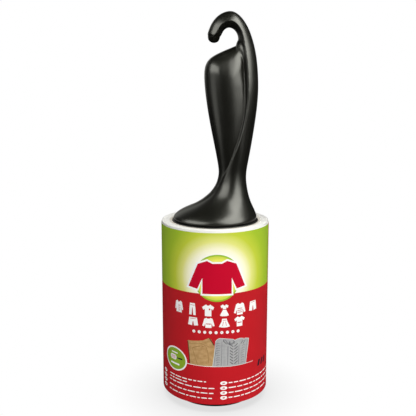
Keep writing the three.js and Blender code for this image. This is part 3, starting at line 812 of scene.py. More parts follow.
def make_handle():
    verts, faces = handle_outer(step=0.4)
    for side in ("front", "rear"):
        front = side == "front"
        y0, y1 = (-60, -PARTING) if front else (PARTING, 60)
        shell = new_object("handle_" + side, verts, faces)
        face_outwards(shell)
        boolean(shell, box_object("half", (-60, y0, SKIRT_Z0), (60, y1, 260)), "INTERSECT")
        boolean(shell, hollow(), "DIFFERENCE")
        # the front shell has a rib and pins, the rear shell a slot and sockets for them
        if front:
            boolean(shell, spine_bar("rib", 0.7, 2.2, AXLE_Z1 + 0.5, 199.3), "UNION")
        else:
            boolean(shell, spine_bar("slot", 0.85, 2.5, AXLE_Z1 + 0.3, 199.45), "DIFFERENCE")
        for x, z in POSTS:
            if front:
                boolean(shell, cross_pin("pin", x, z, PIN_R, -6.0, 3.0), "UNION")
            else:
                boolean(shell, cross_pin("socket", x, z, SOCKET_R, -1.0, 3.4), "DIFFERENCE")
        finish(shell, M_HANDLE, 50, "handle", "handle_" + side + "_shell")


make_handle()

# =====================================================================
# axle, cage, end cap
# =====================================================================
BORE_R, HUB_R = SHAFT_R + 0.08, 6.4
FLANGE_Z0, FLANGE_R = CAGE_Z1 - 1.9, CAGE_R - 0.05
FOOT_R, FOOT_T = CAP_R + 0.1, 2.0           # lowest disc of the cage
DISC_R, DISC_T = 22.0, 1.6                  # the two stiffening discs
DISC_UP = (32.5, 66.0)                      # their height above the cage's lower face
RIB_T, RIB_R = 1.6, CAGE_R
BARB_R = 4.9
CAP_WALL, CAP_FLOOR = 2.0, 2.0
PEG_R, HOLE_R, PEG_CIRCLE_R = 1.8, 1.95, 15.0
PEG_ANGLES = [math.radians(d) for d in (0.0, 120.0, 240.0)]


def make_axle():
    """Shaft with a collar near the top and a split barb at the lower end."""
    corners = [   # r, z, rounding
        (0, AXLE_Z0, 0), (3.5, AXLE_Z0, 0.3), (BARB_R, AXLE_Z0 + 2.1, 0.25),
        (BARB_R, AXLE_Z0 + 2.8, 0.1), (SHAFT_R, AXLE_Z0 + 2.8, 0.0),
        (SHAFT_R, COLLAR_Z[0], 0.3), (COLLAR_R, COLLAR_Z[0], 0.3), (COLLAR_R, COLLAR_Z[1], 0.3),
        (SHAFT_R, COLLAR_Z[1], 0.2), (SHAFT_R, AXLE_Z1, 0.6), (0, AXLE_Z1, 0)]
    profile = rounded([c[:2] for c in corners], [c[2] for c in corners])
    axle = lathe("spindle", profile, 96, closed=False)
    for x, y in ((0.9, 10), (10, 0.9)):
        boolean(axle, box_object("slot", (-x, -y, 0), (x, y, 22)), "DIFFERENCE")
    finish(axle, M_SPOOL, 38, "handle", "axle")


def rib_blade(k):
    """One rib of the cage: a thin wall out from the hub, its long edges rounded."""
    z0, z1 = CAGE_Z0, FLANGE_Z0
    profile = [(HUB_R - 1.2, z0 + 1.0), (RIB_R - 1.4, z0 + 1.0), (RIB_R - 1.4, z0 + 5.0),
               (RIB_R - 0.9, z0 + 7.2), (RIB_R - 0.3, z0 + 9.0), (RIB_R, z0 + 10.6),
               (RIB_R, z1 - 4.5), (RIB_R - 0.25, z1 - 2.0), (RIB_R - 0.8, z1 + 0.5),
               (HUB_R - 1.2, z1 + 0.5)]
    layers = [(0.45, -0.5), (0.13, -0.37), (0.0, 0.0), (0.13, 0.37), (0.45, 0.5)]
    angle = math.pi / 3 * k + math.pi / 6
    cos, sin = math.cos(angle), math.sin(angle)
    rings = []
    for inset, across in layers:        # inset of the edge, place in the thickness
        t = across * RIB_T
        ring = [(r - (inset if r > HUB_R else 0.0), z) for r, z in profile]
        rings.append([(r * cos - t * sin, r * sin + t * cos, z) for r, z in ring])
    return loft("rib", rings)


def on_peg_circle(name, profile, angle):
    """Small turned piece, moved out to the circle of pegs."""
    obj = lathe(name, profile, 40, closed=False)
    obj.data.transform(Matrix.Translation((PEG_CIRCLE_R * math.cos(angle) * MM,
                                           PEG_CIRCLE_R * math.sin(angle) * MM, 0.0)))
    return obj


def make_cage():
    """Hub with a foot, two stiffening discs and a top flange, and six ribs."""
    corners = [(BORE_R, CAGE_Z0, 0.15), (FOOT_R, CAGE_Z0, 0.35),   # r, z, rounding
               (FOOT_R, CAGE_Z0 + FOOT_T, 0.35), (HUB_R, CAGE_Z0 + FOOT_T, 0.5)]
    for z in (CAGE_Z0 + up for up in DISC_UP):
        corners += [(HUB_R, z, 0.5), (DISC_R, z, 0.35),
                    (DISC_R, z + DISC_T, 0.35), (HUB_R, z + DISC_T, 0.5)]
    corners += [(HUB_R, FLANGE_Z0, 0.5), (FLANGE_R, FLANGE_Z0, 0.4), (FLANGE_R, CAGE_Z1, 0.5),
                (HUB_R + 1.0, CAGE_Z1, 0.0), (HUB_R + 0.4, CAGE_Z1 - 0.2, 0.0),
                (BORE_R, CAGE_Z1 - 0.2, 0.15)]
    profile = rounded([c[:2] for c in corners], [c[2] for c in corners])
    cage = lathe("cage", profile, 144)
    for k in range(6):
        boolean(cage, rib_blade(k), "UNION")
    z0, z1 = CAGE_Z0 - 3, CAGE_Z0 + 4
    for angle in PEG_ANGLES:
        hole = on_peg_circle("hole", [(0, z0), (HOLE_R, z0), (HOLE_R, z1), (0, z1)], angle)
        boolean(cage, hole, "DIFFERENCE")
    finish(cage, M_SPOOL, 38, "roller", "roller_cage")


def make_end_cap():
    """Rounded dish with three pegs."""
    inner = CAP_R - CAP_WALL
    profile = rounded([(0, 0), (CAP_R, 0), (CAP_R, CAP_Z1), (inner, CAP_Z1), (inner, CAP_FLOOR),
                       (0, CAP_FLOOR)], [0, 0.7, 0.4, 0.4, 0.8, 0], 6)
    cap = lathe("cap", profile, 192, closed=False)
    peg = [(0, 1.2), (PEG_R, 1.2), (PEG_R, 9.4), (PEG_R - 0.5, 10.0), (0, 10.0)]
    for angle in PEG_ANGLES:
        boolean(cap, on_peg_circle("peg", peg, angle), "UNION")
    finish(cap, M_SPOOL, 38, "roller", "end_cap")


make_axle()
make_cage()
make_end_cap()


# =====================================================================
# refill
# =====================================================================
def tube_profile(inner, outer, z0, z1):
    return [(inner, z0), (outer, z0), (outer, z1), (inner, z1)]


def make_core():
    wall = 1.5
    profile = rounded(tube_profile(CORE_R - wall, CORE_R, CORE_Z0, CORE_Z1), [0.25] * 4, 3)
    core = lathe("core", profile, 256)
    finish(core, M_BOARD, 60, "refill", "core_tube")


def make_roll():
    """Wound sheets, with slightly uneven turns on the end faces."""
    rng = np.random.default_rng(11)
    turns, uneven, gap = 26, 0.14, 0.012
    r0, r1 = CORE_R + 0.05, ROLL_R
    top, bottom = [], []
    for i in range(turns):
        a, b = (r0 + (r1 - r0) * k / turns for k in (i, i + 1))
        z_top = ROLL_Z1 + rng.uniform(-uneven, 0.0)
        z_bottom = ROLL_Z0 + rng.uniform(0.0, uneven)
        top += [(a + gap, z_top), (b - gap, z_top)]
        bottom += [(a + gap, z_bottom), (b - gap, z_bottom)]
    # the first and last points lie on the inner and outer face
    top[0], top[-1] = (r0, ROLL_Z1 - 0.05), (r1, ROLL_Z1 - 0.02)
    bottom[0], bottom[-1] = (r0, ROLL_Z0 + 0.05), (r1, ROLL_Z0 + 0.02)
    roll = lathe("wound_sheets", bottom + top[::-1], 256)
    finish(roll, M_PAPER, 40, "refill", "adhesive_roll")


def make_sheet():
    sheet = lathe("outer_sheet", tube_profile(SHEET_R - 0.25, SHEET_R, SHEET_Z0, SHEET_Z1), 256)
    finish(sheet, M_SHEET, 40, "refill", "top_sheet")


make_core()
make_roll()
make_sheet()

# =====================================================================
# printed label: a paper strip wrapped once round the roll, drawn flat in
# (x, z), where x is the run round the outside from the front centre
# =====================================================================
PAPER_T = 0.13
OVERLAP = 2.6                     # past the back centre, at each end
HALF_RUN = math.pi * LABEL_R      # front centre to back centre
LABEL_END = HALF_RUN + OVERLAP
BAND_Z = LABEL_Z0 + 66.0          # green above, red below
EMBLEM = (0.9, LABEL_Z0 + 75.0)
EMBLEM_R = 13.5
BADGE = (-26.0, LABEL_Z0 + 24.0)
UV_MM = 100.0                     # length of one UV unit

# pictogram outlines in a unit square about the origin
TEE = [(-.17, .5), (-.08, .40), (.08, .40), (.17, .5), (.5, .26), (.40, .03), (.27, .12),
       (.27, -.5), (-.27, -.5), (-.27, .12), (-.40, .03), (-.5, .26)]
TROUSERS = [(-.30, .5), (.30, .5), (.36, .1), (.40, -.5), (.10, -.5), (.03, .12), (-.03, .12),
            (-.10, -.5), (-.40, -.5), (-.36, .1)]
FROCK = [(-.14, .5), (-.06, .40), (.06, .40), (.14, .5), (.36, .38), (.30, .20), (.17, .24),
         (.13, .06), (.42, -.44), (.22, -.5), (-.22, -.5), (-.42, -.44), (-.13, .06),
         (-.17, .24), (-.30, .20), (-.36, .38)]
SKIRT = [(-.20, .40), (.20, .40), (.26, .12), (.50, -.40), (.24, -.46), (0, -.48),
         (-.24, -.46), (-.50, -.40), (-.26, .12)]
JUMPER = [(-.17, .5), (-.08, .42), (.08, .42), (.17, .5), (.33, .40), (.5, -.30), (.34, -.36),
          (.25, -.02), (.25, -.5), (-.25, -.5), (-.25, -.02), (-.34, -.36), (-.5, -.30),
          (-.33, .40)]
SHORTS = [(-.38, .42), (.38, .42), (.50, -.34), (.10, -.40), (.03, .02), (-.03, .02),
          (-.10, -.40), (-.50, -.34)]
COAT = [(-.16, .5), (0, .34), (.16, .5), (.34, .40), (.46, -.24), (.32, -.28), (.26, .02),
        (.31, -.5), (-.31, -.5), (-.26, .02), (-.32, -.28), (-.46, -.24), (-.34, .40)]

# in the order of the material slots
INKS = ["red", "green", "disc", "rim", "white", "garment", "tan", "tan_dark", "tan_edge", "knit",
        "knit_edge", "knit_mid", "knit_dark", "badge", "dark", "paper"]


def ellipse(x, z, rx, rz, count):
    angles = [2 * math.pi * k / count for k in range(count)]
    return [(x + rx * math.cos(a), z + rz * math.sin(a)) for a in angles]


def placed(shape, x, z, width, height):
    return [(x + px * width, z + pz * height) for px, pz in shape]


def moved(points, x=0.0, z=LABEL_Z0):
    return [(x + px, z + pz) for px, pz in points]


def twice_area(points):
    """Positive when counter-clockwise."""
    return sum(points[i - 1][0] * points[i][1] - points[i][0] * points[i - 1][1]
               for i in range(len(points)))


def ccw(points):
    return list(points) if twice_area(points) > 0 else list(points)[::-1]


def offset_polygon(points, distance):
    """Mitred outline outside a counter-clockwise polygon."""
    out = []
    for i in range(len(points)):
        p0, p1, p2 = (Vector(points[(i + k) % len(points)]) for k in (-1, 0, 1))
        e0, e1 = (p1 - p0).normalized(), (p2 - p1).normalized()
        n0, n1 = Vector((e0.y, -e0.x)), Vector((e1.y, -e1.x))
        mitre = n0 + n1
        k = max(0.45, n0.dot(mitre) / max(mitre.length, 1e-6))
        out.append(tuple(p1 + mitre.normalized() * (distance / k)))
    return out


def stroke(points, width):
    """Thin band along a polyline."""
    left, right = [], []
    for i, point in enumerate(points):
        before = Vector(points[max(i - 1, 0)])
        after = Vector(points[min(i + 1, len(points) - 1)])
        along = (after - before).normalized()
        side = Vector((-along.y, along.x)) * width / 2
        left.append(tuple(Vector(point) + side))
        right.append(tuple(Vector(point) - side))
    return left + right[::-1]


def bar(x, z, width, height):
    """Small bar with cut corners."""
    q = min(width, height) * 0.3
    a, b = width / 2, height / 2
    return moved([(-a + q, -b), (a - q, -b), (a, -b + q), (a, b - q), (a - q, b), (-a + q, b),
                  (-a, b - q), (-a, -b + q)], x, z)


# Each drawing below yields (outline, ink); later outlines cover earlier ones.
def strokes(ink, lines):
    """lines: width, points measured up from the label's lower edge"""
    for width, points in lines:
        yield stroke(moved(points), width), ink


def background():
    for x0, x1, z0, z1, ink in (
            (-LABEL_END, LABEL_END, LABEL_Z0, BAND_Z, "red"),
            (-LABEL_END, LABEL_END, BAND_Z, LABEL_Z1, "green"),
            # the back panel is plain red from a little behind each side
            (43.0, LABEL_END, BAND_Z, LABEL_Z1, "red"),
            (-LABEL_END, -52.6, BAND_Z, LABEL_Z1, "red")):
        yield [(x0, z0), (x1, z0), (x1, z1), (x0, z1)], ink


def emblem():
    x, z = EMBLEM
    yield ellipse(x, z, EMBLEM_R, EMBLEM_R, 96), "rim"
    yield ellipse(x, z, EMBLEM_R - 0.8, EMBLEM_R - 0.8, 96), "disc"
    jumper = ccw(placed(JUMPER, x, z + 0.4, 33.0, 19.0))
    yield offset_polygon(jumper, 1.0), "white"
    yield jumper, "garment"


def upper_clothes():
    z = LABEL_Z0 + 56.5
    row = [(COAT, 6.6), (TROUSERS, 5.0), (TEE, 6.8), (FROCK, 6.2), (JUMPER, 7.4), (SHORTS, 5.8)]
    for k, (shape, width) in enumerate(row):
        x = -22.4 + 9.16 * k
        yield placed(shape, x, z, width, 6.9), "white"
        if shape is COAT:
            yield bar(x, z - 0.9, 0.34, 4.2), "red"
            for up in (0.4, -0.9, -2.2):
                yield ellipse(x + 0.75, z + up, 0.24, 0.24, 10), "red"
        elif shape in (TROUSERS, SHORTS):
            yield bar(x, z + 2.3, width * 0.52, 0.26), "red"
        elif shape is TEE:
            yield bar(x + 0.8, z + 0.6, 1.0, 1.0), "red"
        elif shape is FROCK:
            yield bar(x, z + 0.5, 1.7, 0.36), "red"
        else:
            for up in (0.2, -0.9, -2.0):
                yield bar(x, z + up, 3.0, 0.36), "red"


def lower_clothes():
    z = LABEL_Z0 + 49.2
    for k, (shape, width) in enumerate([(SHORTS, 6.2), (JUMPER, 7.0), (SKIRT, 6.4), (TEE, 6.6)]):
        x = -12.9 + 9.0 * k
        yield placed(shape, x, z, width, 5.9), "white"
        if shape is SHORTS:
            yield bar(x, z + 1.7, width * 0.56, 0.26), "red"
        elif shape is SKIRT:
            yield bar(x, z + 1.5, width * 0.34, 0.26), "red"
            for side in (-0.75, 0.75):
                pleat = [(x + side * 0.8, z + 0.6), (x + side * 1.5, z - 1.9)]
                yield stroke(pleat, 0.24), "red"
        else:
            yield bar(x, z - 0.7, width * 0.40, 0.5), "red"


def buttons():
    z = LABEL_Z0 + 43.5
    for k in range(9):
        x = -12.4 + 3.2 * k
        yield ellipse(x, z, 0.9, 0.9, 16), "white"
        for dx, dz in ((-.24, -.24), (.24, -.24), (.24, .24), (-.24, .24)):
            yield ellipse(x + dx, z + dz, 0.11, 0.11, 6), "red"


def ground_line():
    """Thin line under the folded clothes."""
    yield moved([(-17.4, 23.15), (0.0, 22.98), (14.0, 22.9), (24.2, 22.95), (24.2, 23.1),
                 (14.0, 23.28), (0.0, 23.38), (-17.4, 23.5)]), "white"


def folded_trousers():
    yield moved([(-16.5, 37.4), (-12.0, 37.8), (-7.0, 38.6), (-3.7, 40.2), (-2.6, 39.6),
                 (-1.6, 37.9), (-0.5, 35.8), (-0.6, 31.0), (-1.5, 23.35), (-8.0, 23.3),
                 (-15.1, 23.4), (-15.6, 30.5)]), "tan"
    yield from strokes("tan_edge", [
        (0.5, [(-16.35, 37.2), (-15.6, 30.5), (-15.0, 23.5)]),
        (0.5, [(-3.4, 40.1), (-2.2, 38.3), (-0.7, 35.9)])])
    yield from strokes("tan_dark", [
        (0.16, [(-15.9, 35.8), (-11.0, 36.2), (-6.8, 37.1), (-3.0, 38.7)]),
        (0.34, [(-13.4, 33.3), (-11.0, 34.5), (-8.6, 35.0)]),
        (0.26, [(-13.4, 33.3), (-11.9, 28.5), (-10.2, 23.6)]),
        (0.30, [(-7.8, 34.6), (-5.9, 35.5), (-5.2, 34.6), (-4.9, 33.4)]),
        (0.26, [(-4.6, 33.0), (-4.1, 30.5), (-3.7, 25.0)]),
        (0.22, [(-9.4, 37.0), (-7.0, 36.2), (-3.4, 35.0)])])


def folded_jumper():
    outline = ccw(moved([
        (0.3, 38.3), (1.3, 39.4), (2.6, 39.9), (6.0, 39.5), (10.2, 38.8), (11.2, 37.9),
        (12.2, 38.5), (14.4, 38.8), (16.4, 38.4), (16.9, 37.6), (18.1, 38.2), (20.3, 37.6),
        (19.7, 33.0), (19.0, 28.5), (18.3, 23.1), (8.4, 23.1), (-1.3, 23.4), (-0.4, 30.5)]))
    yield offset_polygon(outline, 0.30), "knit_edge"
    yield outline, "knit"
    # collar
    yield moved([(5.2, 39.3), (10.4, 38.5), (11.3, 37.7), (10.9, 36.6), (9.6, 35.6),
                 (8.2, 35.6), (6.6, 36.6)]), "knit_mid"
    yield moved([(6.1, 39.1), (10.1, 38.4), (10.6, 37.9), (10.2, 37.1), (8.3, 36.7),
                 (6.8, 37.6)]), "knit"
    yield from strokes("knit_dark", [
        (0.46, [(4.9, 39.3), (4.6, 38.4), (5.4, 37.4)]),
        (0.30, [(5.4, 37.4), (6.6, 36.3)]),
        (0.62, [(8.3, 37.9), (8.2, 36.6), (8.0, 35.9)]),
        (0.46, [(10.6, 38.0), (10.9, 36.2)]),
        (0.34, [(16.6, 37.3), (15.8, 36.6), (14.9, 35.6)]),
        (0.30, [(18.1, 37.3), (17.3, 36.4), (16.5, 35.3)])])
    # middle column of chevrons
    up = 24.0
    while up < 35.4:
        for arm in ([(8.3, 1.55), (9.4, 0.65), (10.35, 0.0)],
                    [(13.0, 1.65), (11.9, 0.75), (10.95, 0.1)]):
            yield stroke(moved(arm, z=LABEL_Z0 + up), 0.44), "knit_dark"
        up += 1.75
    # rows of short strokes at the left and the right
    up = 23.9
    while up < 37.6:
        z = LABEL_Z0 + up
        lean = 0.06 * (up - 23.9)
        yield stroke([(0.5 - 0.2 * lean, z), (1.5, z + 0.55), (2.5, z + 0.35)], 0.34), "knit_mid"
        if up < 34.5:
            right = moved([(15.1, 0.2), (16.1, 0.75), (17.1, 0.5)], lean, z)
            yield stroke(right, 0.34), "knit_mid"
        up += 1.42
    # lines between the columns
    yield from strokes("knit_mid", [
        (0.34, [(0.2, 37.6), (0.3, 33.0), (-0.4, 28.0), (-0.9, 23.8)]),
        (0.42, [(3.7, 38.0), (3.6, 30.0), (3.3, 23.7)]),
        (0.42, [(7.2, 35.0), (7.1, 30.0), (7.0, 23.6)]),
        (0.40, [(13.9, 35.0), (13.75, 30.0), (13.6, 23.6)]),
        (0.30, [(19.4, 36.8), (18.7, 31.0), (17.8, 23.5)])])


def badge():
    """Oval at the left, with a roll and its short handle over a bar."""
    x, z = BADGE
    yield ellipse(x, z, 9.1, 7.25, 64), "white"
    yield ellipse(x, z, 8.1, 6.35, 64), "badge"
    yield bar(x - 0.4, z + 3.6, 5.4, 0.7), "white"
    yield bar(x - 1.5, z + 0.7, 5.4, 3.0), "white"
    for up in (-0.65, 0.0, 0.65):
        yield bar(x - 1.5, z + 0.7 + up, 4.0, 0.26), "garment"
    yield bar(x + 1.7, z + 0.7, 0.7, 1.2), "dark"
    yield bar(x + 4.1, z + 0.7, 3.4, 0.9), "dark"
    yield bar(x - 0.2, z - 3.1, 7.6, 1.0), "white"


def slanted_mark():
    """Three dark slanted blocks at the right."""
    for k in range(3):
        yield moved([(-1.5, -1.9), (0.3, -1.9), (1.5, 1.9), (-0.3, 1.9)],
                    29.6 + 3.3 * k, LABEL_Z0 + 20.2), "dark"


def print_line(rng, x0, x1, z, height):
    """One line of print, drawn as bars of random length."""
    x = x0
    while x < x1 - 0.6:
        width = min(rng.uniform(1.6, 5.2), x1 - x)
        if width > 0.5:
            yield bar(x + width / 2, z, width, height), "white"
        x += width + 0.75


def small_print():
    rng = np.random.default_rng(5)
    for x0, x1, up in ((-31.0, -5.2, 13.7), (-31.0, -17.0, 11.9), (-31.6, -0.4, 9.9),
                       (-31.6, -1.0, 6.85), (-32.0, -1.8, 3.75)):
        yield from print_line(rng, x0, x1, LABEL_Z0 + up, 0.62)
    for k, x1 in enumerate((45.0, 46.0, 43.5, 38.2)):
        z = LABEL_Z0 + 13.0 - 3.0 * k
        yield from print_line(rng, 7.7, x1, z, 0.62)
        for x in (4.85, -37.2):
            yield ellipse(x, z, 2.05, 1.12, 28), "white"
            yield bar(x, z, 1.5, 0.62), "red"
    # the back has a block of lines on each side of the seam
    inner = 62.0
    lengths = (22.0, 20.5, 23.0, 18.5, 22.5, 21.0, 23.0, 19.5, 14.0)
    for side in (-1, 1):
        for k, length in enumerate(lengths):
            x0, x1 = sorted((side * inner, side * (inner + length)))
            yield from print_line(rng, x0, x1, LABEL_Z0 + 52.0 - 4.2 * k, 0.9)


def label_art():
    drawings = (background, emblem, upper_clothes, lower_clothes, buttons, ground_line,
                folded_trousers, folded_jumper, badge, slanted_mark, small_print)
    return [(ccw(points), ink) for drawing in drawings for points, ink in drawing()]


# ---- inks ----
def ink_shader(name):
    return Shader("label_" + name)


def ink_finish(n, colour, roughness=0.5, specular=0.03, grain=0.05):
    """Give the ink a slightly uneven tone and gloss, and the paper's fibre."""
    vector = n.coords()
    fibre = n.noise(vector, scale=2400.0, roughness=0.6)
    cloud = n.noise(vector, scale=60.0)
    dots = n.noise(vector, scale=5200.0, detail=1.0)
    spread = (-0.5 * grain, 0.5 * grain)
    shade = n.plus(n.remap(cloud, to=spread), n.remap(dots, to=spread))
    hsv = n.add("HueSaturation")
    n.put(hsv.inputs["Value"], n.plus(shade, 1.0))
    n.put(hsv.inputs["Color"], colour)
    gloss = n.remap(cloud, to=(roughness - 0.04, roughness + 0.04))
    n.surface(hsv.outputs[0], gloss, specular)
    n.bump(fibre, strength=0.12, depth=0.01)
    return n.material


def label_mm(n):
    """Run round the label and height up it."""
    x, z, _ = n.separate(n.add("UVMap", uv_map="label").outputs[0])
    return n.times(x, UV_MM), n.times(z, UV_MM)


def radial_ink(name, centre, unit, stops, grain):
    """Colour by distance from centre, in units; stops of (distance, sRGB tone)."""
    n = ink_shader(name)
    offsets = [n.math("SUBTRACT", v, c) for v, c in zip(label_mm(n), centre)]
    distance = n.times(n.length(*offsets), 1.0 / unit)
    return ink_finish(n, n.ramp(distance, [(at, srgb(*tone)) for at, tone in stops]), grain=grain)


def trouser_ink():
    """Slanted twill lines and soft folds."""
    n = ink_shader("tan")
    x, z = label_mm(n)
    twill = n.math("FRACT", n.times(n.plus(x, z), 2.6))
    folds = n.noise(n.combine(n.times(x, 0.16), n.times(z, 0.22)), scale=2.2, roughness=0.55)
    colour = n.mix(n.remap(folds, span=(0.32, 0.68)), srgb(176, 139, 91), srgb(200, 164, 114))
    lines = n.times(n.math("GREATER_THAN", twill, 0.6), 0.10)
    colour = n.mix(lines, colour, srgb(158, 120, 74))
    return ink_finish(n, colour, roughness=0.55, specular=0.04, grain=0.08)


def knit_ink():
    """Fine upright ribs and rows of stitches."""
    n = ink_shader("knit")
    x, z = label_mm(n)
    rib = n.off_middle(n.times(x, 1.25))
    row = n.off_middle(n.plus(n.times(z, 1.4), n.times(rib, 0.8)))
    pattern = n.plus(n.times(rib, 1.2), n.times(row, 0.8))
    colour = n.ramp(pattern, [(0.0, srgb(150, 150, 151)), (0.45, srgb(172, 173, 172)),
                              (1.0, srgb(196, 197, 195))])
    cloth = n.noise(n.combine(n.times(x, 0.3), n.times(z, 0.3)), scale=1.6)
    shade = n.remap(cloth, span=(0.35, 0.7), to=(0.0, 0.45))
    colour = n.mix(shade, colour, srgb(142, 142, 144))
    return ink_finish(n, colour, roughness=0.6, specular=0.04, grain=0.10)


PLAIN_INKS = {
    "red": (191, 29, 37), "white": (250, 249, 246), "rim": (146, 188, 52),
    "garment": (196, 10, 44), "tan_dark": (150, 114, 70), "tan_edge": (70, 56, 36),
    "knit_edge": (204, 219, 215), "knit_mid": (134, 134, 136), "knit_dark": (98, 98, 100),
    "dark": (22, 32, 44), "paper": (246, 245, 240)}
GREEN_REACH = 60.0                # distance from the emblem at which the glow's ramp ends


def label_materials():
    mats = {name: ink_finish(ink_shader(name), srgb(*tone),
                             specular=0.2 if name == "paper" else 0.03)
            for name, tone in PLAIN_INKS.items()}
    glow = [(0.0, (255, 255, 250)), (13.5, (254, 252, 240)), (17.0, (248, 245, 208)),
            (21.0, (226, 227, 130)), (26.0, (196, 208, 64)), (33.0, (166, 195, 48)),
            (42.0, (154, 187, 50)), (60.0, (150, 184, 50))]
    mats["green"] = radial_ink("green", EMBLEM, GREEN_REACH,
                               [(r / GREEN_REACH, tone) for r, tone in glow], grain=0.04)
    mats["disc"] = radial_ink("disc", EMBLEM, EMBLEM_R, [
        (0.0, (255, 253, 228)), (0.5, (252, 248, 170)), (0.78, (232, 230, 96)),
        (1.0, (184, 206, 64))], grain=0.03)
    mats["badge"] = radial_ink("badge", BADGE, 9.0, [(0.0, (150, 184, 52)),
                                                     (1.0, (136, 170, 42))], grain=0.04)
    mats["tan"] = trouser_ink()
    mats["knit"] = knit_ink()
    return [mats[ink] for ink in INKS]


def flat_label(art):
    """Triangulate the artwork, cut into upright strips so that it bends."""
    verts, edges, faces = [], [], []

    def index(point):
        verts.append(Vector(point))
        return len(verts) - 1
    for points, _ in art:
        faces.append([index(p) for p in points])
    strips = 200
    for k in range(1, strips):
        x = -LABEL_END + 2 * LABEL_END * k / strips
        edges.append((index((x, LABEL_Z0)), index((x, LABEL_Z1))))
    points, _, tris, _, _, sources = delaunay_2d_cdt(verts, edges, faces, 1, 1e-5)
    x = np.array([p[0] for p in points])
    z = np.clip(np.array([p[1] for p in points]), LABEL_Z0, LABEL_Z1)
    return x, z, tris, sources


def make_label():
    art = label_art()
    x, z, flat_faces, sources = flat_label(art)
    angle = x / LABEL_R
    # the left end sinks to pass under the other end
    sink = 0.17 * smoothstep((-HALF_RUN + 6.5 - x) / 3.0)

    def wrapped(r):
        return np.stack([r * np.sin(angle), -r * np.cos(angle), z], axis=1)
    front, inks, rim = [], [], {}
    for face, ids in zip(flat_faces, sources):
        if not ids:
            continue
        face = list(face)
        if twice_area([(x[i], z[i]) for i in face]) < 0:
            face = face[::-1]
        front.append(face)
        inks.append(INKS.index(art[max(ids)][1]))
        for a, b in zip([face[-1]] + face, face):
            if (b, a) in rim:
                rim.pop((b, a))
            else:
                rim[(a, b)] = True
    n = len(x)
    faces = [tuple(f) for f in front] + [tuple(i + n for i in reversed(f)) for f in front]
    faces += [(b, a, a + n, b + n) for a, b in rim]
    outer, inner = wrapped(LABEL_R - sink), wrapped(LABEL_R - sink - PAPER_T)
    label = new_object("label_wrap", np.concatenate([outer, inner]), faces)
    mesh = label.data
    slots = np.full(len(mesh.polygons), INKS.index("paper"), dtype=np.int32)
    slots[:len(inks)] = inks
    for material in label_materials():
        mesh.materials.append(material)
    mesh.polygons.foreach_set("material_index", slots)
    corners = np.zeros(len(mesh.loops), dtype=np.int64)
    mesh.loops.foreach_get("vertex_index", corners)
    uv = np.stack([np.concatenate([v, v])[corners] / UV_MM for v in (x, z)], axis=1)
    mesh.uv_layers.new(name="label").data.foreach_set("uv", uv.ravel())
    sharpen(label, 40)
    register(label, "label_wrap", "label_sleeve")


make_label()


# =====================================================================
# stage, light, camera (metres, except the floor's rings)
# =====================================================================
def stage_material():
    """White floor that the camera sees as a clear pane with a soft contact shadow.

    What reaches below the floor stays in view.
    """
    n = Shader("stage_white")
    cloud = n.noise(n.coords(), scale=3.0, detail=2.0)
    colour = n.mix(n.remap(cloud), (0.93, 0.93, 0.93, 1), (0.95, 0.95, 0.95, 1))
    n.surface(colour, roughness=0.9, specular=0.1)
    occlusion = n.add("AmbientOcclusion", samples=32)
    occlusion.inputs["Distance"].default_value = 0.035
    occlusion.inputs["Color"].default_value = (1, 1, 1, 1)
    shade = n.remap(occlusion.outputs["AO"], span=(0.30, 1.0), to=(0.72, 1.0))
    pane = n.add("BsdfTransparent")
    n.put(pane.inputs[0], n.mix(shade, (0, 0, 0, 1), (1, 1, 1, 1)))
    see_through = n.math("MAXIMUM", n.add("LightPath").outputs["Is Camera Ray"],
                         n.add("NewGeometry").outputs["Backfacing"])
    mixer = n.add("MixShader")
    for socket, value in zip(mixer.inputs, (see_through, n.principled.outputs[0],
                                            pane.outputs[0])):
        n.put(socket, value)
    n.put(n.output.inputs[0], mixer.outputs[0])
    return n.material


def stage():
    ring_radii = [50.0, 120.0, 300.0, 800.0, 2000.0, 6000.0]
    segments = 48
    angles = [2 * math.pi * k / segments for k in range(segments)]
    verts = [(0, 0, 0)] + [(r * math.cos(a), r * math.sin(a), 0) for r in ring_radii
                           for a in angles]
    faces = [(0, 1 + k, 1 + (k + 1) % segments) for k in range(segments)]
    for i in range(len(ring_radii) - 1):
        a, b = 1 + i * segments, 1 + (i + 1) * segments
        for k in range(segments):
            k2 = (k + 1) % segments
            faces.append((a + k, b + k, b + k2, a + k2))
    floor = new_object("floor", verts, faces)
    floor.data.materials.append(stage_material())
    floor.location.z = -0.0002
    floor.visible_glossy = False
    floor.visible_shadow = False


AMBIENT = 0.21         # light that matt surfaces get from all round
ROOM = 0.02            # what glossy surfaces see between the light boxes
LIGHT_TARGET = (0.005, 0.0, 0.13)
LIGHTS = [
    # name, azimuth from the camera side towards +X, elevation, distance, width, height, watts, matt
    ("soft_key", 30.0, 33.0, 1.20, 1.10, 1.10, 11.7, True),
    ("soft_top", 0.0, 86.0, 1.20, 1.00, 1.00, 5.0, True),
    ("right_box", 55.0, 38.0, 0.55, 0.54, 0.62, 9.2, False),
    ("right_top", 84.0, 60.0, 0.55, 0.27, 0.24, 0.5, False),
    ("right_low", 46.0, -3.0, 0.55, 0.30, 0.16, 0.2, False),
    ("left_box", -62.0, 31.0, 0.55, 0.62, 0.40, 4.4, False),
    ("left_low", -72.0, -8.0, 0.55, 0.30, 0.20, 0.3, False),
    ("back_box", -160.0, 12.0, 0.90, 0.60, 0.50, 0.5, False),
]


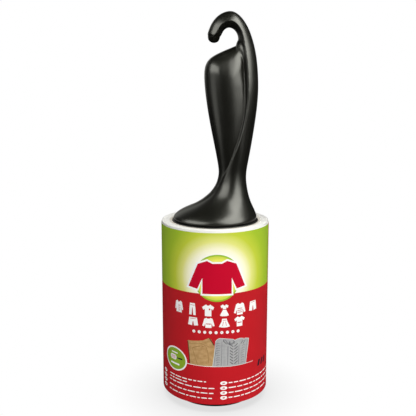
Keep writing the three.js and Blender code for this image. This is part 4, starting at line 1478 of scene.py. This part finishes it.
def world():
    """White to the camera, dim to glossy rays, ambient light to all others."""
    studio = bpy.data.worlds.new("studio")
    SCENE.world = studio
    studio.use_nodes = True
    tree = studio.node_tree
    tree.nodes.clear()
    output = tree.nodes.new("ShaderNodeOutputWorld")
    path = tree.nodes.new("ShaderNodeLightPath")

    def background_light(colour, strength):
        node = tree.nodes.new("ShaderNodeBackground")
        node.inputs[0].default_value = colour
        node.inputs[1].default_value = strength
        return node.outputs[0]

    def mixed(*sockets):
        node = tree.nodes.new("ShaderNodeMixShader")
        for target, source in zip(node.inputs, sockets):
            tree.links.new(source, target)
        return node.outputs[0]
    room = mixed(path.outputs["Is Glossy Ray"], background_light((1, 1, 1, 1), AMBIENT),
                 background_light((1.0, 0.99, 0.96, 1), ROOM))
    seen = mixed(path.outputs["Is Camera Ray"], room, background_light((1, 1, 1, 1), 1.0))
    tree.links.new(seen, output.inputs[0])


def lights():
    target = Vector(LIGHT_TARGET)
    for name, azimuth, elevation, distance, width, height, watts, matt in LIGHTS:
        a, e = math.radians(azimuth), math.radians(elevation)
        outward = Vector((math.sin(a) * math.cos(e), -math.cos(a) * math.cos(e), math.sin(e)))
        light = bpy.data.lights.new(name, "AREA")
        light.shape = "RECTANGLE"
        light.size, light.size_y = width, height
        light.energy = watts
        light.color = (1, 1, 1) if matt else (1.0, 1.0, 0.91)
        obj = bpy.data.objects.new(name, light)
        SCENE.collection.objects.link(obj)
        place = target + outward * distance
        obj.location = place
        obj.rotation_euler = (target - place).to_track_quat("-Z", "Y").to_euler()
        # the boxes only draw highlights, the soft lights only light matt colour
        obj.visible_diffuse = matt
        obj.visible_glossy = not matt
        obj.visible_camera = False


def camera():
    """In front of the roller, looking slightly down."""
    data = bpy.data.cameras.new("camera")
    data.sensor_width = 36.0
    data.lens = 61.22
    obj = bpy.data.objects.new("camera", data)
    SCENE.collection.objects.link(obj)
    obj.location = (-0.00413, -0.405153, 0.195189)
    obj.rotation_euler = (math.pi / 2 - math.radians(11.434), 0, 0)
    SCENE.camera = obj


stage()
world()
lights()
camera()
SCENE.view_settings.view_transform = "Standard"
SCENE.view_settings.look = "None"
